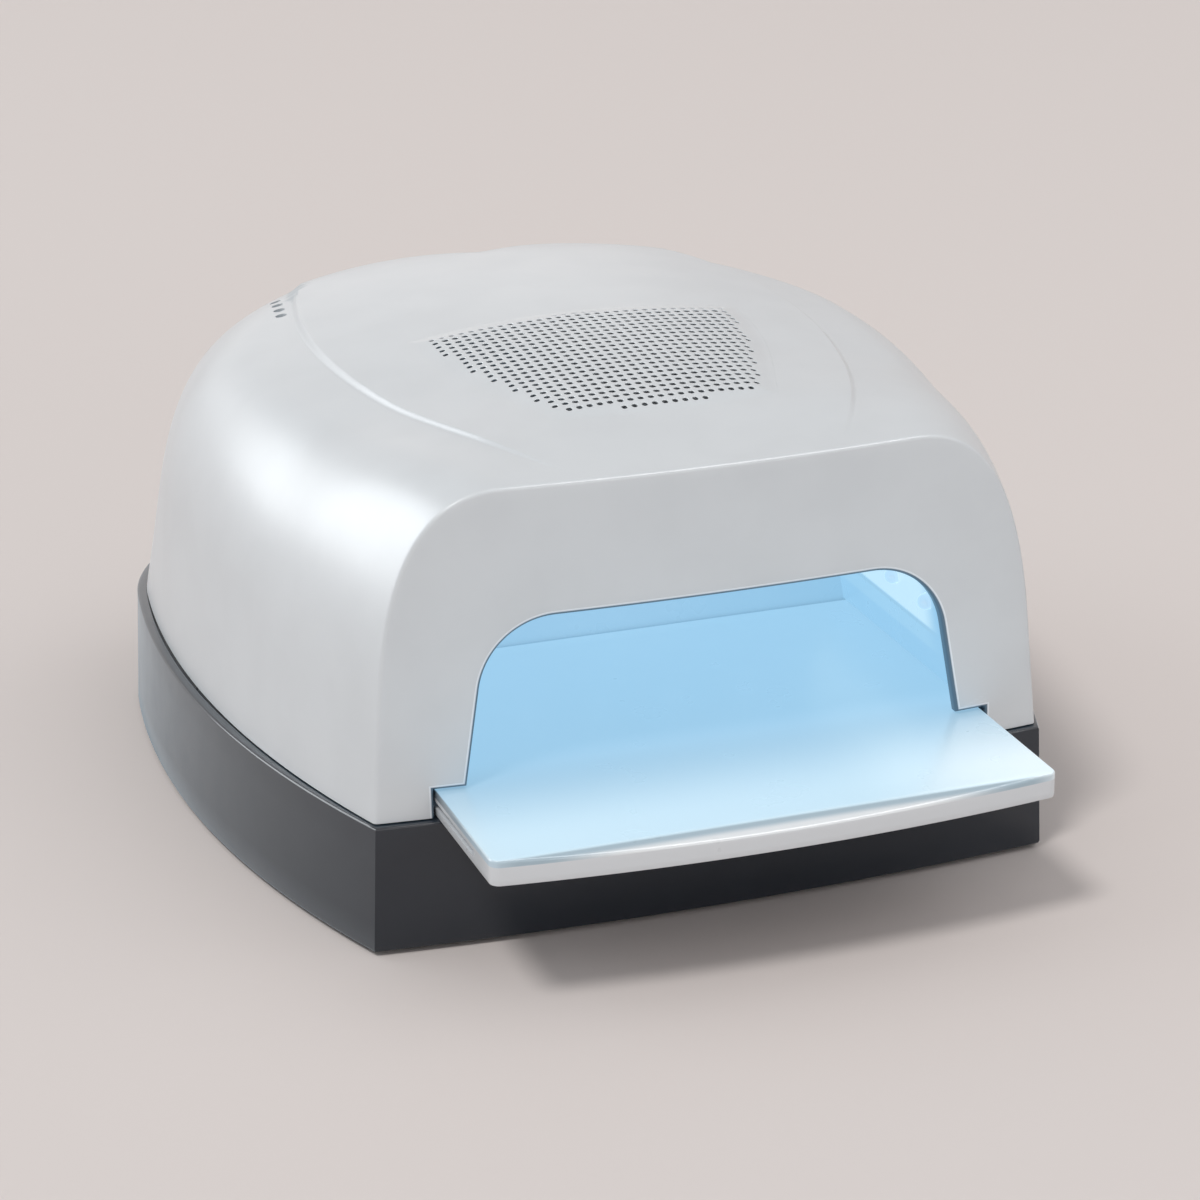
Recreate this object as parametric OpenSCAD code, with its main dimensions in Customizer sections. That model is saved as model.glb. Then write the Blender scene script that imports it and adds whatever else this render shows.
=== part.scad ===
// A table lamp that cures nail gel: a domed pearl shell on a dark base, a lit hand
// chamber behind an arched opening, and a slide-out hand tray that is its floor.
// Millimetres. X to the right, Y to the rear, Z up, as seen by the hand's owner.

/* [Base] */
// Half width of the base at its two front corners
base_front_half = 100; // [92:1:112]
// Half width of the base at its widest place
base_mid_half = 125; // [120:1:136]
// Distance from the front corners back to the widest place
base_mid_y = 136; // [125:1:150]
// Distance from the front corners back to the rear end
base_depth = 268; // [260:1:290]
// Radius of the rear corners, seen from above
rear_corner_r = 76; // [66:1:84]
// Radius of the rear end's bow, seen from above
rear_bow_r = 325; // [280:5:400]
// How far the front bows forward between its corners
front_bow = 5.7; // [3:0.1:9]
// Height of the base's rim above the table
rim_z = 38; // [34:0.5:46]
// Width at the rim as a share of the width at the bottom
rim_taper = 0.985; // [0.975:0.005:1]
// Thickness of the base's wall at the bottom
base_wall = 4.6; // [4.4:0.1:5.4]
// Width of the ledge that carries the deck
ledge_w = 4; // [3:0.5:6]
// Thickness of the plate that closes the base below
bottom_plate_t = 2.4; // [2:0.1:3]
// Thickness of the deck that closes the base above
deck_t = 3; // [2.6:0.1:3.6]
// How far the rubber feet stand below the base
foot_drop = 1.2; // [0.6:0.1:3]
// Radius of a rubber foot
foot_r = 8; // [6:0.5:10]
// Depth of the pocket that holds a foot
foot_pocket = 1.2; // [0.8:0.1:1.6]

/* [Shell] */
// Wall thickness of the shell
shell_wall = 2.6; // [2:0.1:3.2]
// Dark reveal between the base's rim and the shell's edge
reveal_gap = 0.4; // [0.3:0.1:1]
// Inset of the shell from the base at the front corners
reveal_front_side = 0.4; // [0.4:0.1:1.5]
// Inset of the shell from the base at the widest place
reveal_mid_side = 3.4; // [2:0.1:4]
// Inset of the shell behind the base's front and rear
reveal_end = 2.1; // [1:0.1:3]
// Height of the shell's top edge above the front opening
front_h = 128.4; // [126:0.2:134]
// Height of the top at its highest place
crown_h = 137.8; // [134:0.2:142]
// Distance from the front back to the highest place
crown_y = 128; // [110:1:150]
// Fall of the top at the front half width from the centre line
crown_fall = 12.7; // [6:0.1:15]
// Lean of the front face away from the hand, in degrees
face_lean = 2.8; // [0:0.1:5]
// Width of the shoulder at the front
front_shoulder_w = 39; // [34:1:48]
// Height of the shoulder at the front
front_shoulder_h = 58; // [46:1:62]
// Width of the shoulder along the sides
side_shoulder_w = 30.5; // [26:0.5:35]
// Height of the shoulder along the sides
side_shoulder_h = 42; // [38:1:52]
// Width of the shoulder at the rear
rear_shoulder_w = 66; // [60:1:68]
// Height of the shoulder at the rear
rear_shoulder_h = 70; // [64:1:76]
// Inward lean of the side walls, as a share of height
side_draft = 0.09; // [0.06:0.005:0.11]
// Inward lean of the rear wall, as a share of height
rear_draft = 0.24; // [0.18:0.01:0.26]
// Distance of the ridge's end in front of the rear
ridge_end = 71; // [70:1:80]

/* [Raised panel] */
// Half width of the raised panel at its widest place
panel_half = 74.2; // [70:0.2:80]
// Distance from the front back to the panel's widest place
panel_mid_y = 128; // [118:1:138]
// Radius of the panel's two long edges
panel_edge_r = 230; // [210:1:250]
// Distance from the front back to where the panel's edges fade in
panel_start_y = 4; // [2:1:10]
// Height of the panel's edge where it is highest
panel_step = 2; // [1.2:0.1:3]
// Height of the panel's edge along its front half
panel_front_step = 1; // [0.4:0.1:1.2]

/* [Opening] */
// Half width of the opening at the tray
open_half = 72.5; // [69:0.5:75]
// Height of the opening's top above the table
open_top = 92; // [88:0.5:96]
// Radius of the opening's upper corners
open_corner_r = 22; // [18:0.5:26]
// Inward lean of the opening's sides, in degrees
open_lean = 9.3; // [5:0.1:11]
// Distance from the opening's edge out to the reflector
reflector_set = 7; // [5:0.5:9]
// Thickness of the reflectors
reflector_t = 1.5; // [1:0.1:2]
// Depth of the hand chamber behind the front corners
chamber_depth = 97; // [90:1:104]

/* [Tray] */
// Half width of the hand tray
tray_half = 81; // [76:0.5:83]
// Thickness of the hand tray
tray_t = 7.4; // [6.4:0.1:8.4]
// How far the tray's corners stand out in front of the base
tray_reach = 46.8; // [30:0.2:60]
// Radius of the tray's two front corners
tray_corner_r = 2.5; // [1:0.5:5]
// Drop of the bevel at the middle of the tray's front edge
tray_bevel = 1.6; // [0.8:0.1:2.4]
// Height of the groove in each side of the tray
groove_h = 1.8; // [1.4:0.1:2.2]
// Depth of the groove in each side of the tray
groove_d = 2.2; // [1.6:0.1:2.6]
// Width of a tray guide outside the tray
guide_w = 6.5; // [5:0.5:8]
// Sliding clearance between the tray and its guides
slide_gap = 0.3; // [0.2:0.05:0.4]

/* [Vent] */
// Distance between neighbouring vent holes from side to side
vent_pitch_x = 3; // [2.8:0.1:3.6]
// Distance between neighbouring vent holes from front to rear
vent_pitch_y = 3.3; // [2.9:0.1:3.6]
// Radius of a vent hole
vent_hole_r = 1.05; // [0.8:0.05:1.2]
// Distance from the front back to the first row of holes
vent_front_y = 40; // [36:1:46]
// Distance from the front back to the last row of holes
vent_rear_y = 116; // [110:1:122]
// Half width of the field of holes at its front
vent_front_half = 28.5; // [25:0.5:33]
// Half width of the field of holes at its rear
vent_rear_half = 46.5; // [40:0.5:49]
// Bow of the field's front edge
vent_front_bow = 4; // [2:0.5:8]
// Bow of the field's rear edge
vent_rear_bow = 3; // [1:0.5:8]
// Plain border of the grille round its holes
vent_border = 4; // [3:0.5:6]
// Thickness of the grille
vent_t = 1.3; // [1:0.1:1.6]

/* [Controls] */
// Half width of the control panel's face
bezel_half = 35; // [33:0.5:38]
// Half height of the control panel's face
bezel_half_h = 10; // [9.5:0.5:12]
// Depth of the control panel's face below the shell's surface
bezel_sink = 2.6; // [2:0.1:4]
// Thickness of the control panel
bezel_t = 3; // [2.4:0.1:3.6]
// Distance between neighbouring buttons
button_pitch = 16; // [14:0.5:17]
// Radius of a button
button_r = 4.5; // [3.5:0.1:5]
// How far a button stands out of the control panel
button_rise = 1.8; // [1.2:0.1:2.4]
// How far a button can be pressed
button_travel = 1; // [0.6:0.1:1.2]
// Radial clearance round a button
button_gap = 0.25; // [0.15:0.05:0.35]

/* [Cooling] */
// Width of the fan's square frame
fan_w = 70; // [60:1:74]
// Thickness of the fan
fan_t = 10; // [9:0.5:11]
// Distance from the front back to the fan's axis
fan_y = 62; // [58:1:66]
// Number of fan blades
fan_blades = 7; // [5:1:9]
// Height of the heat sink's fins
fin_h = 8; // [5:0.5:9]
// Thickness of a heat sink's fin
fin_t = 1.2; // [1:0.1:1.6]
// Distance between neighbouring fins
fin_pitch = 6; // [5:0.5:8]

/* [Fasteners] */
// Shank radius of the screws
screw_r = 1.5; // [1.25:0.05:1.75]
// Head radius of the screws
screw_head_r = 2.9; // [2.6:0.1:3.2]
// Head height of the screws
screw_head_h = 1.6; // [1.2:0.1:2]
// Outer radius of the screw posts
post_r = 4.2; // [3.8:0.1:5]

/* [Hidden] */

// Small distances that several pieces share
eps = 0.01;
fit_gap = 0.2;
seat_gap = 0.3;
pin_gap = 0.05;
far = 400;

// Levels
shell_z = rim_z + reveal_gap;
tray_z = rim_z + slide_gap;
tray_top = tray_z + tray_t;
deck_top = rim_z;
deck_z = deck_top - deck_t;
base_z = foot_drop;
plate_top = base_z + bottom_plate_t;
guide_top = tray_top + slide_gap;
guide_out = tray_half + slide_gap + guide_w;

// The origin is the middle of the whole lamp's box, on the table
tray_front_y = -tray_reach - front_bow;
centre_y = (base_depth + tray_front_y) / 2;

// General functions
function mix(a, b, t) = a + (b - a) * t;
function smooth(e0, e1, v) =
    let (t = min(1, max(0, (v - e0) / (e1 - e0)))) t * t * (3 - 2 * t);
function bezier(p, t) =
    pow(1 - t, 3) * p[0] + 3 * pow(1 - t, 2) * t * p[1]
    + 3 * (1 - t) * t * t * p[2] + pow(t, 3) * p[3];
function bow_r(half) = (half * half + front_bow * front_bow) / (2 * front_bow);
function mirrored(pts) = [for (p = pts) [-p[0], p[1]]];
function flipped(pts) = [for (i = [len(pts) - 1:-1:0]) [-pts[i][0], pts[i][1]]];

// Plan outline: a side arc, a corner arc and a rear arc, tangent to each other.
// plan = [front half width, widest half width, front y, widest y, rear y]
function side_r(plan) =
    (pow(plan[3] - plan[2], 2) + pow(plan[1] - plan[0], 2)) / (2 * (plan[1] - plan[0]));
function side_centre(plan) = [plan[1] - side_r(plan), plan[3]];
function rear_centre(plan) = [0, plan[4] - rear_bow_r];
function corner_centre(plan) =
    let (
        a = side_centre(plan),
        b = rear_centre(plan),
        ra = side_r(plan) - rear_corner_r,
        rb = rear_bow_r - rear_corner_r,
        d = norm(b - a),
        e = (b - a) / d,
        along = (ra * ra - rb * rb + d * d) / (2 * d),
        across = sqrt(ra * ra - along * along)
    )
    a + along * e + across * [-e[1], e[0]];
function side_end(plan) =
    let (v = corner_centre(plan) - side_centre(plan)) atan2(v[1], v[0]);
function rear_start(plan) =
    let (v = corner_centre(plan) - rear_centre(plan)) atan2(v[1], v[0]);
function on_arc(centre, r, angle) = centre + r * [cos(angle), sin(angle)];
function side_angle(plan, y, inset) = asin((y - plan[3]) / (side_r(plan) - inset));

// Points of the right half, from y back to the rear end, drawn in by inset
function plan_half(plan, inset, y, n_side, n_corner, n_rear) =
    let (
        start = side_angle(plan, y, inset),
        turn = side_end(plan),
        last = rear_start(plan)
    )
    concat(
        [for (i = [0:n_side])
            on_arc(side_centre(plan), side_r(plan) - inset, mix(start, turn, i / n_side))],
        [for (i = [1:n_corner])
            on_arc(corner_centre(plan), rear_corner_r - inset, mix(turn, last, i / n_corner))],
        [for (i = [1:n_rear])
            on_arc(rear_centre(plan), rear_bow_r - inset, mix(last, 90, i / n_rear))]
    );

// Front corner and bow of an outline drawn in by inset
function side_x(plan, y, inset) =
    side_centre(plan)[0] + (side_r(plan) - inset) * cos(side_angle(plan, y, inset));
function bow_y(plan, x, inset) =
    let (r = bow_r(plan[0]))
    plan[2] - front_bow + r - sqrt(pow(r - inset, 2) - x * x);
function front_corner_y(plan, inset) =
    bow_y(plan, side_x(plan, plan[2] + inset, inset), inset);
function outline(plan, inset) =
    let (
        y0 = front_corner_y(plan, inset),
        half = plan_half(plan, inset, y0, 12, 14, 4),
        x0 = half[0][0],
        steps = 12
    )
    concat(
        half,
        [for (i = [len(half) - 2:-1:0]) [-half[i][0], half[i][1]]],
        [for (i = [1:steps - 1]) let (x = mix(-x0, x0, i / steps)) [x, bow_y(plan, x, inset)]]
    );

base_plan = [base_front_half, base_mid_half, 0, base_mid_y, base_depth];
shell_plan = [
    base_front_half * rim_taper - reveal_front_side,
    base_mid_half * rim_taper - reveal_mid_side,
    reveal_end,
    base_mid_y,
    base_depth - reveal_end
];

// Where the raised panel's step is whole at the front and where it begins to grow,
// then how far from the rear it is tallest, begins to fade and ends
panel_full_y = 45;
panel_rise_y = 60;
panel_tall = 90;
panel_fade = 66;
panel_end = 30;
crown_full_y = 80;

// Height of the top: crowned along and across, with the raised panel's step
function panel_edge(y) =
    panel_half - panel_edge_r + sqrt(pow(panel_edge_r, 2) - pow(y - panel_mid_y, 2));
function panel_height(y) =
    let (rear = shell_plan[4])
    (
        panel_front_step * smooth(panel_start_y, panel_full_y, y)
        + (panel_step - panel_front_step) * smooth(panel_rise_y, rear - panel_tall, y)
    ) * (1 - smooth(rear - panel_fade, rear - panel_end, y));
function panel_lift(x, y) =
    abs(x) < panel_edge(max(0, min(shell_plan[4], y))) ? panel_height(y) : 0;
function bare_top(x, y) =
    crown_h - (crown_h - front_h) * pow((crown_y - max(0, y)) / crown_y, 2)
    - crown_fall * pow(x / base_front_half, 2) * smooth(0, crown_full_y, y);
function top_at(x, y) = bare_top(x, y) + panel_lift(x, y);

// The ridge: where the ribs of the dome meet on the centre line
ridge_y = shell_plan[4] - ridge_end;
function ridge_at(y) =
    y <= 0 ? y : ridge_y * (1 - pow(1 - y / shell_plan[4], shell_plan[4] / ridge_y));

// Where the side shoulder is whole, and how far in front of the rear the rear shoulder begins
side_shoulder_y = 130;
rear_shoulder_run = 115.9;

// One rib of the dome as [distance inward, share of the local height]
function rib_shape(y, n_wall, n_shoulder) =
    let (
        back = smooth(0, side_shoulder_y, y),
        tail = smooth(shell_plan[4] - rear_shoulder_run, shell_plan[4], y),
        w = mix(mix(front_shoulder_w, side_shoulder_w, back), rear_shoulder_w, tail),
        h = mix(mix(front_shoulder_h, side_shoulder_h, back), rear_shoulder_h, tail),
        draft = mix(side_draft, rear_draft, tail),
        full = front_h - shell_z,
        knee = full - h,
        d0 = draft * knee,
        p = [
            [d0, knee],
            [d0 + draft * h * 0.6, knee + h * 0.61],
            [d0 + (w - d0) * 0.36, full],
            [w, full]
        ]
    )
    concat(
        [for (i = [0:n_wall - 1]) [d0 * i / n_wall, knee / full * i / n_wall]],
        [for (i = [0:n_shoulder]) let (q = bezier(p, i / n_shoulder)) [q[0], q[1] / full]]
    );

// Distance along a rib from its foot to the raised panel's edge
function edge_distance(foot, dir, w, reach, steps = 24) =
    let (
        lo = w,
        inside = [for (i = [0:steps])
            let (d = mix(lo, reach - 1, i / steps), p = foot + dir * d)
            if (abs(p[0]) < panel_edge(max(0, min(shell_plan[4], p[1])))) d]
    )
    len(inside) > 0 ? max(lo + 1, inside[0]) : (lo + reach) / 2;

// A whole rib in space, from the foot to the ridge
function rib(foot, wall, n_wall, n_shoulder, n_top) =
    let (
        ridge = [0, ridge_at(foot[1])],
        reach = norm(ridge - foot),
        dir = (ridge - foot) / reach,
        shape = rib_shape(foot[1], n_wall, n_shoulder),
        w = shape[len(shape) - 1][0],
        e = edge_distance(foot, dir, w, reach),
        top_d = concat([e - 0.5, e + 0.5], [for (i = [1:n_top]) mix(e + 0.5, reach, i / n_top)])
    )
    concat(
        [for (s = shape)
            let (p = foot + dir * s[0])
            [p[0], p[1], shell_z + s[1] * (top_at(p[0], p[1]) - wall - shell_z)]],
        [for (d = top_d)
            let (p = foot + dir * d)
            [p[0], p[1], top_at(p[0], p[1]) - wall]]
    );

// The dome as one closed solid, drawn in by wall and reaching below its foot by drop
front_run = 15;
module dome(wall, drop, n_side, n_corner, n_rear, n_wall, n_shoulder, n_top) {
    feet = plan_half(shell_plan, wall, -front_run, n_side, n_corner, n_rear);
    n = len(feet) - 1;
    ribs = [for (f = feet)
        let (r = rib(f, wall, n_wall, n_shoulder, n_top))
        concat(drop > 0 ? [[f[0], f[1], shell_z - drop]] : [], r)];
    m = len(ribs[0]) - 1;
    row = 2 * m + 1;
    points = [for (i = [0:n]) for (j = [0:2 * m])
        let (p = ribs[i][j <= m ? j : 2 * m - j])
        [(j < m ? 1 : -1) * (j == m ? 0 : p[0]), p[1], p[2]]];
    skin = [for (i = [0:n - 1]) for (j = [0:2 * m - 1])
        let (a = i * row + j, b = a + 1, c = at_rib(i + 1, j, n, m), d = at_rib(i + 1, j + 1, n, m))
        for (t = [[a, b, d], [a, d, c]]) if (t[1] != t[2] && t[0] != t[1]) t];
    bottom = concat(
        [for (i = [0:n]) i * row],
        [for (i = [n - 1:-1:0]) i * row + 2 * m]
    );
    front = [for (j = [2 * m:-1:0]) j];
    polyhedron(points = points, faces = concat(skin, [bottom], [front]), convexity = 8);
}
// At the last rib the two halves are one
function at_rib(i, j, n, m) = i * (2 * m + 1) + (i == n && j > m ? 2 * m - j : j);

// Keeps what lies behind the bowed, leaning front face, drawn in by inset
module behind_front(inset) {
    r = bow_r(shell_plan[0]);
    translate([0, shell_plan[2] - front_bow, shell_z])
        rotate([-face_lean, 0, 0])
            translate([0, r, -60])
                cylinder(r = r - inset, h = far / 2, $fn = 720);
}

// Outline of the opening, grown outward by grow and open down to z_low
arch_centre = [
    open_half - (open_corner_r - (tray_top - open_top + open_corner_r) * sin(open_lean))
    / cos(open_lean),
    open_top - open_corner_r
];
function arch_side_x(z, grow) =
    arch_centre[0]
    + (open_corner_r + grow - (z - arch_centre[1]) * sin(open_lean)) / cos(open_lean);
function arch_half(grow, z_low, steps = 10) = concat(
    [[arch_side_x(z_low, grow), z_low]],
    [for (i = [0:steps])
        on_arc(arch_centre, open_corner_r + grow, mix(open_lean, 90, i / steps))]
);
module arch_2d(grow, z_low) {
    half = arch_half(grow, z_low);
    polygon(concat(half, flipped(half)));
}
// Extrudes a drawing in X and Z from y0 back to y1
module along_y(y0, y1) {
    translate([0, y1, 0])
        rotate([90, 0, 0])
            linear_extrude(height = y1 - y0)
                children();
}
module placed() {
    translate([0, -centre_y, 0]) children();
}
module both_sides() {
    children();
    mirror([1, 0, 0]) children();
}

// The crowned slab of the vent: its cross section is a row of flats, one a column of holes
function vent_half(y) =
    let (t = (y - vent_front_y) / (vent_rear_y - vent_front_y))
    mix(vent_front_half, vent_rear_half, sin(90 * min(1, max(0, t))));
function vent_first_y(x) = vent_front_y + vent_front_bow * pow(x / vent_front_half, 2);
function vent_last_y(x) = vent_rear_y - vent_rear_bow * pow(x / vent_rear_half, 2);
vent_lift = 0.15;
vent_mid_y = (vent_front_y + vent_rear_y) / 2;
vent_z = top_at(0, vent_mid_y) + vent_lift;
vent_tilt = atan2(
    top_at(0, vent_rear_y) - top_at(0, vent_front_y),
    vent_rear_y - vent_front_y
);
function vent_sag(x) = crown_fall * pow(x / base_front_half, 2);
module vent_slab(up, down) {
    cols = ceil((vent_rear_half + vent_border + 4) / vent_pitch_x);
    edge = [for (i = [-cols:cols]) (i + (i < 0 ? 0.5 : -0.5)) * vent_pitch_x];
    xs = [for (i = [0:len(edge) - 1]) if (i != cols) edge[i]];
    translate([0, vent_mid_y, vent_z])
        rotate([vent_tilt, 0, 0])
            along_y(-(vent_rear_y - vent_front_y), vent_rear_y - vent_front_y)
                polygon(concat(
                    [for (x = xs) [x, up - vent_sag(x)]],
                    [for (i = [len(xs) - 1:-1:0]) [xs[i], -down - vent_sag(xs[i])]]
                ));
}
module vent_outline(grow) {
    steps = 8;
    w = grow + vent_hole_r;
    right = concat(
        [for (i = [0:steps])
            let (x = vent_front_half * i / steps) [x + w * i / steps, vent_first_y(x) - w]],
        [for (i = [1:steps])
            let (y = mix(vent_first_y(vent_front_half), vent_last_y(vent_rear_half), i / steps))
            [vent_half(y) + w, y]],
        [for (i = [steps:-1:0])
            let (x = vent_rear_half * i / steps) [x + w * i / steps, vent_last_y(x) + w]]
    );
    polygon(concat(right, [for (i = [len(right) - 2:-1:1]) [-right[i][0], right[i][1]]]));
}
module vent_column(grow) {
    translate([0, 0, shell_z])
        linear_extrude(height = far / 2)
            vent_outline(grow);
}
module vent_holes() {
    cols = floor(vent_rear_half / vent_pitch_x);
    rows = floor((vent_rear_y - vent_front_y) / vent_pitch_y);
    for (i = [-cols:cols])
        for (j = [0:rows]) {
            x = i * vent_pitch_x;
            y = vent_front_y + j * vent_pitch_y;
            if (abs(x) <= vent_half(y) && y >= vent_first_y(x) && y <= vent_last_y(x))
                translate([x, y, vent_z - 20])
                    cylinder(r = vent_hole_r, h = 40, $fn = 16);
        }
}

module vent_grille() {
    color([0.84, 0.86, 0.87])
        difference() {
            intersection() {
                vent_slab(0, vent_t);
                vent_column(vent_border);
            }
            vent_holes();
        }
}

// The control panel's own frame: Z out of the shell, at the middle of the rear shoulder
rear_rib = rib_shape(shell_plan[4], 1, 8);
panel_at = rear_rib[5];
panel_ahead = rear_rib[6];
panel_behind = rear_rib[4];
bezel_y = shell_plan[4] - panel_at[0];
bezel_z = shell_z + panel_at[1] * (top_at(0, bezel_y) - shell_z);
bezel_tilt = atan2(
    (panel_ahead[1] - panel_behind[1]) * (bare_top(0, bezel_y) - shell_z),
    panel_ahead[0] - panel_behind[0]
);
module at_bezel(z = 0) {
    translate([0, bezel_y, bezel_z])
        rotate([-bezel_tilt, 0, 0])
            translate([0, 0, z])
                children();
}
module bezel_block(half, half_h, z0, z1) {
    at_bezel()
        translate([-half, -half_h, z0])
            cube([2 * half, 2 * half_h, z1 - z0]);
}

// The frame that holds the control panel, behind the shell
bezel_face = -bezel_sink;
bezel_back = bezel_face - bezel_t;
bezel_ledge = 2;
bezel_frame_w = 3;
bezel_frame_t = 3.2;

// Screw posts of the shell stand on the deck beside the chamber
shell_post_inset = shell_wall + post_r - 1;
function shell_post(y) = [side_x(shell_plan, y, shell_post_inset), y];
shell_post_h = 34;
shell_post_back = 103;
shell_post_bore = 16;
shell_posts = [shell_post(fan_y), shell_post(base_depth - shell_post_back)];

// Small round holes beside the raised panel, four on each side
side_hole_r = 1.8;
side_hole_count = 4;
side_hole_first = [72.5, base_depth - 87.5];
side_hole_last = [69, base_depth - 67.5];
side_hole_low = 50;

// How far cuts reach below the shell's edge, and half the width of the tray's notch
shell_drop = 5;
notch_half = tray_half + 2 * slide_gap;
module outer_shell() {
    color([0.85, 0.87, 0.88])
        difference() {
            union() {
                difference() {
                    intersection() {
                        dome(0, 0, 14, 10, 4, 3, 9, 5);
                        behind_front(0);
                    }
                    intersection() {
                        dome(shell_wall, shell_drop, 8, 6, 2, 2, 6, 3);
                        behind_front(shell_wall);
                    }
                }
                intersection() {
                    dome(shell_wall / 2, shell_z - deck_top, 8, 6, 2, 2, 6, 3);
                    union() {
                        both_sides()
                            for (p = shell_posts)
                                translate([p[0], p[1], deck_top])
                                    cylinder(r = post_r, h = shell_post_h, $fn = 32);
                        bezel_block(
                            bezel_half + bezel_frame_w, bezel_half_h + bezel_frame_w,
                            bezel_back - bezel_frame_t, 5
                        );
                    }
                }
            }
            along_y(-far / 4, chamber_depth / 2)
                arch_2d(0, shell_z - shell_drop);
            translate([-notch_half, -far / 4, shell_z - shell_drop])
                cube([
                    2 * notch_half,
                    far / 4 + chamber_depth / 2,
                    guide_top + slide_gap - shell_z + shell_drop
                ]);
            intersection() {
                vent_slab(20, vent_t + fit_gap);
                vent_column(vent_border + fit_gap);
            }
            vent_column(vent_hole_r);
            bezel_block(bezel_half + fit_gap, bezel_half_h + fit_gap, bezel_back, 20);
            bezel_block(bezel_half - bezel_ledge, bezel_half_h - bezel_ledge, -20, 20);
            both_sides() {
                for (p = shell_posts)
                    translate([p[0], p[1], shell_z - 1])
                        cylinder(r = screw_r + pin_gap, h = shell_post_bore + 1, $fn = 32);
                for (i = [0:side_hole_count - 1])
                    translate(mix(side_hole_first, side_hole_last, i / (side_hole_count - 1)))
                        translate([0, 0, rim_z + side_hole_low])
                            cylinder(r = side_hole_r, h = 60, $fn = 24);
            }
        }
}

// A flat slab of the base's plan, drawn in by inset
module plan_slab(inset, z0, z1) {
    translate([0, 0, z0])
        linear_extrude(height = z1 - z0)
            polygon(outline(base_plan, inset));
}
// Ledge and screw posts of the base, and the places of its four feet
ledge_t = 3;
base_post_inset = base_wall + post_r - 0.8;
base_post_front = 24;
base_post_mid = 21;
base_post_back = 73;
base_posts = [
    for (y = [base_post_front, base_mid_y - base_post_mid, base_depth - base_post_back])
        [side_x(base_plan, y, base_post_inset), y]
];
foot_in = 18;
foot_front = 30;
foot_back = 50;
feet_at = [
    [base_front_half - foot_in, foot_front],
    [base_front_half - foot_in, base_depth - foot_back]
];

// Screws: shank length, bore length and the cross in the head
screw_len = 10;
bore_len = 12;
slot_half = 0.35;
slot_deep = 0.8;

// A pan head screw, its head's top at the origin and its shank down
module screw(length = screw_len) {
    difference() {
        union() {
            translate([0, 0, -screw_head_h])
                cylinder(r = screw_head_r, h = screw_head_h, $fn = 32);
            translate([0, 0, -screw_head_h - length])
                cylinder(r = screw_r, h = length + eps, $fn = 32);
        }
        for (a = [0, 90])
            rotate([0, 0, a])
                translate([-screw_head_r * 0.6, -slot_half, -slot_deep])
                    cube([screw_head_r * 1.2, 2 * slot_half, slot_deep + 1]);
    }
}
// The counterbored hole that a flush screw goes through
module screw_seat(depth) {
    translate([0, 0, -screw_head_h])
        cylinder(r = screw_head_r + fit_gap, h = screw_head_h + 1, $fn = 32);
    translate([0, 0, -depth])
        cylinder(r = screw_r + fit_gap, h = depth, $fn = 32);
}
module at_each(points) {
    both_sides()
        for (p = points)
            translate([p[0], p[1], 0])
                children();
}

// The flat panel behind a cut-out in the base's rear wall
socket_y = base_depth - 5;
socket_t = 2.5;
socket_half = 42;
cutout_half = 36;
socket_z = (plate_top + deck_z) / 2;
cutout_half_h = 10.5;
inlet_x = -19;
switch_x = 16;

module base_frame() {
    color([0.17, 0.18, 0.2])
        difference() {
            union() {
                difference() {
                    translate([0, 0, base_z])
                        linear_extrude(height = rim_z - base_z, scale = [rim_taper, 1], slices = 1)
                            polygon(outline(base_plan, 0));
                    plan_slab(base_wall, deck_z, rim_z + 1);
                    plan_slab(base_wall + ledge_w, deck_z - ledge_t - 1, deck_z + 1);
                    plan_slab(base_wall, base_z - 1, deck_z - ledge_t);
                }
                at_each(base_posts)
                    translate([0, 0, plate_top])
                        cylinder(r = post_r, h = deck_z - plate_top, $fn = 32);
            }
            at_each(base_posts) {
                translate([0, 0, plate_top - 1])
                    cylinder(r = screw_r + pin_gap, h = bore_len, $fn = 32);
                translate([0, 0, deck_z - bore_len + 1])
                    cylinder(r = screw_r + pin_gap, h = bore_len, $fn = 32);
            }
            translate([-socket_half - fit_gap, socket_y - 20, plate_top])
                cube([2 * (socket_half + fit_gap), 20, deck_z - plate_top + eps]);
            translate([-cutout_half, socket_y - 1, socket_z - cutout_half_h])
                cube([2 * cutout_half, 20, 2 * cutout_half_h]);
        }
}

// Air slots in the bottom plate
slot_w = 3;
slot_len = 56;
slot_pitch = 8;
slot_count = 11;
module bottom_plate() {
    color([0.2, 0.21, 0.22])
        difference() {
            plan_slab(base_wall + fit_gap, base_z, plate_top);
            at_each(feet_at)
                translate([0, 0, base_z - 1])
                    cylinder(r = foot_r + pin_gap, h = foot_pocket + 1, $fn = 48);
            at_each(base_posts)
                translate([0, 0, base_z])
                    mirror([0, 0, 1])
                        screw_seat(bottom_plate_t + 1);
            for (i = [0:slot_count - 1])
                translate([(i - (slot_count - 1) / 2) * slot_pitch, crown_y, base_z - 1]) {
                    translate([-slot_w / 2, -slot_len / 2, 0])
                        cube([slot_w, slot_len, bottom_plate_t + 2]);
                    for (s = [-1, 1])
                        translate([0, s * slot_len / 2, 0])
                            cylinder(r = slot_w / 2, h = bottom_plate_t + 2, $fn = 24);
                }
        }
}
module base_screws() {
    color([0.55, 0.56, 0.58])
        at_each(base_posts)
            translate([0, 0, base_z])
                mirror([0, 0, 1])
                    screw();
}
module rubber_feet() {
    color([0.08, 0.08, 0.09])
        at_each(feet_at)
            rotate_extrude($fn = 48)
                polygon([
                    [0, 0], [foot_r - 0.8, 0], [foot_r, 0.8],
                    [foot_r, base_z + foot_pocket], [0, base_z + foot_pocket]
                ]);
}

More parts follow.
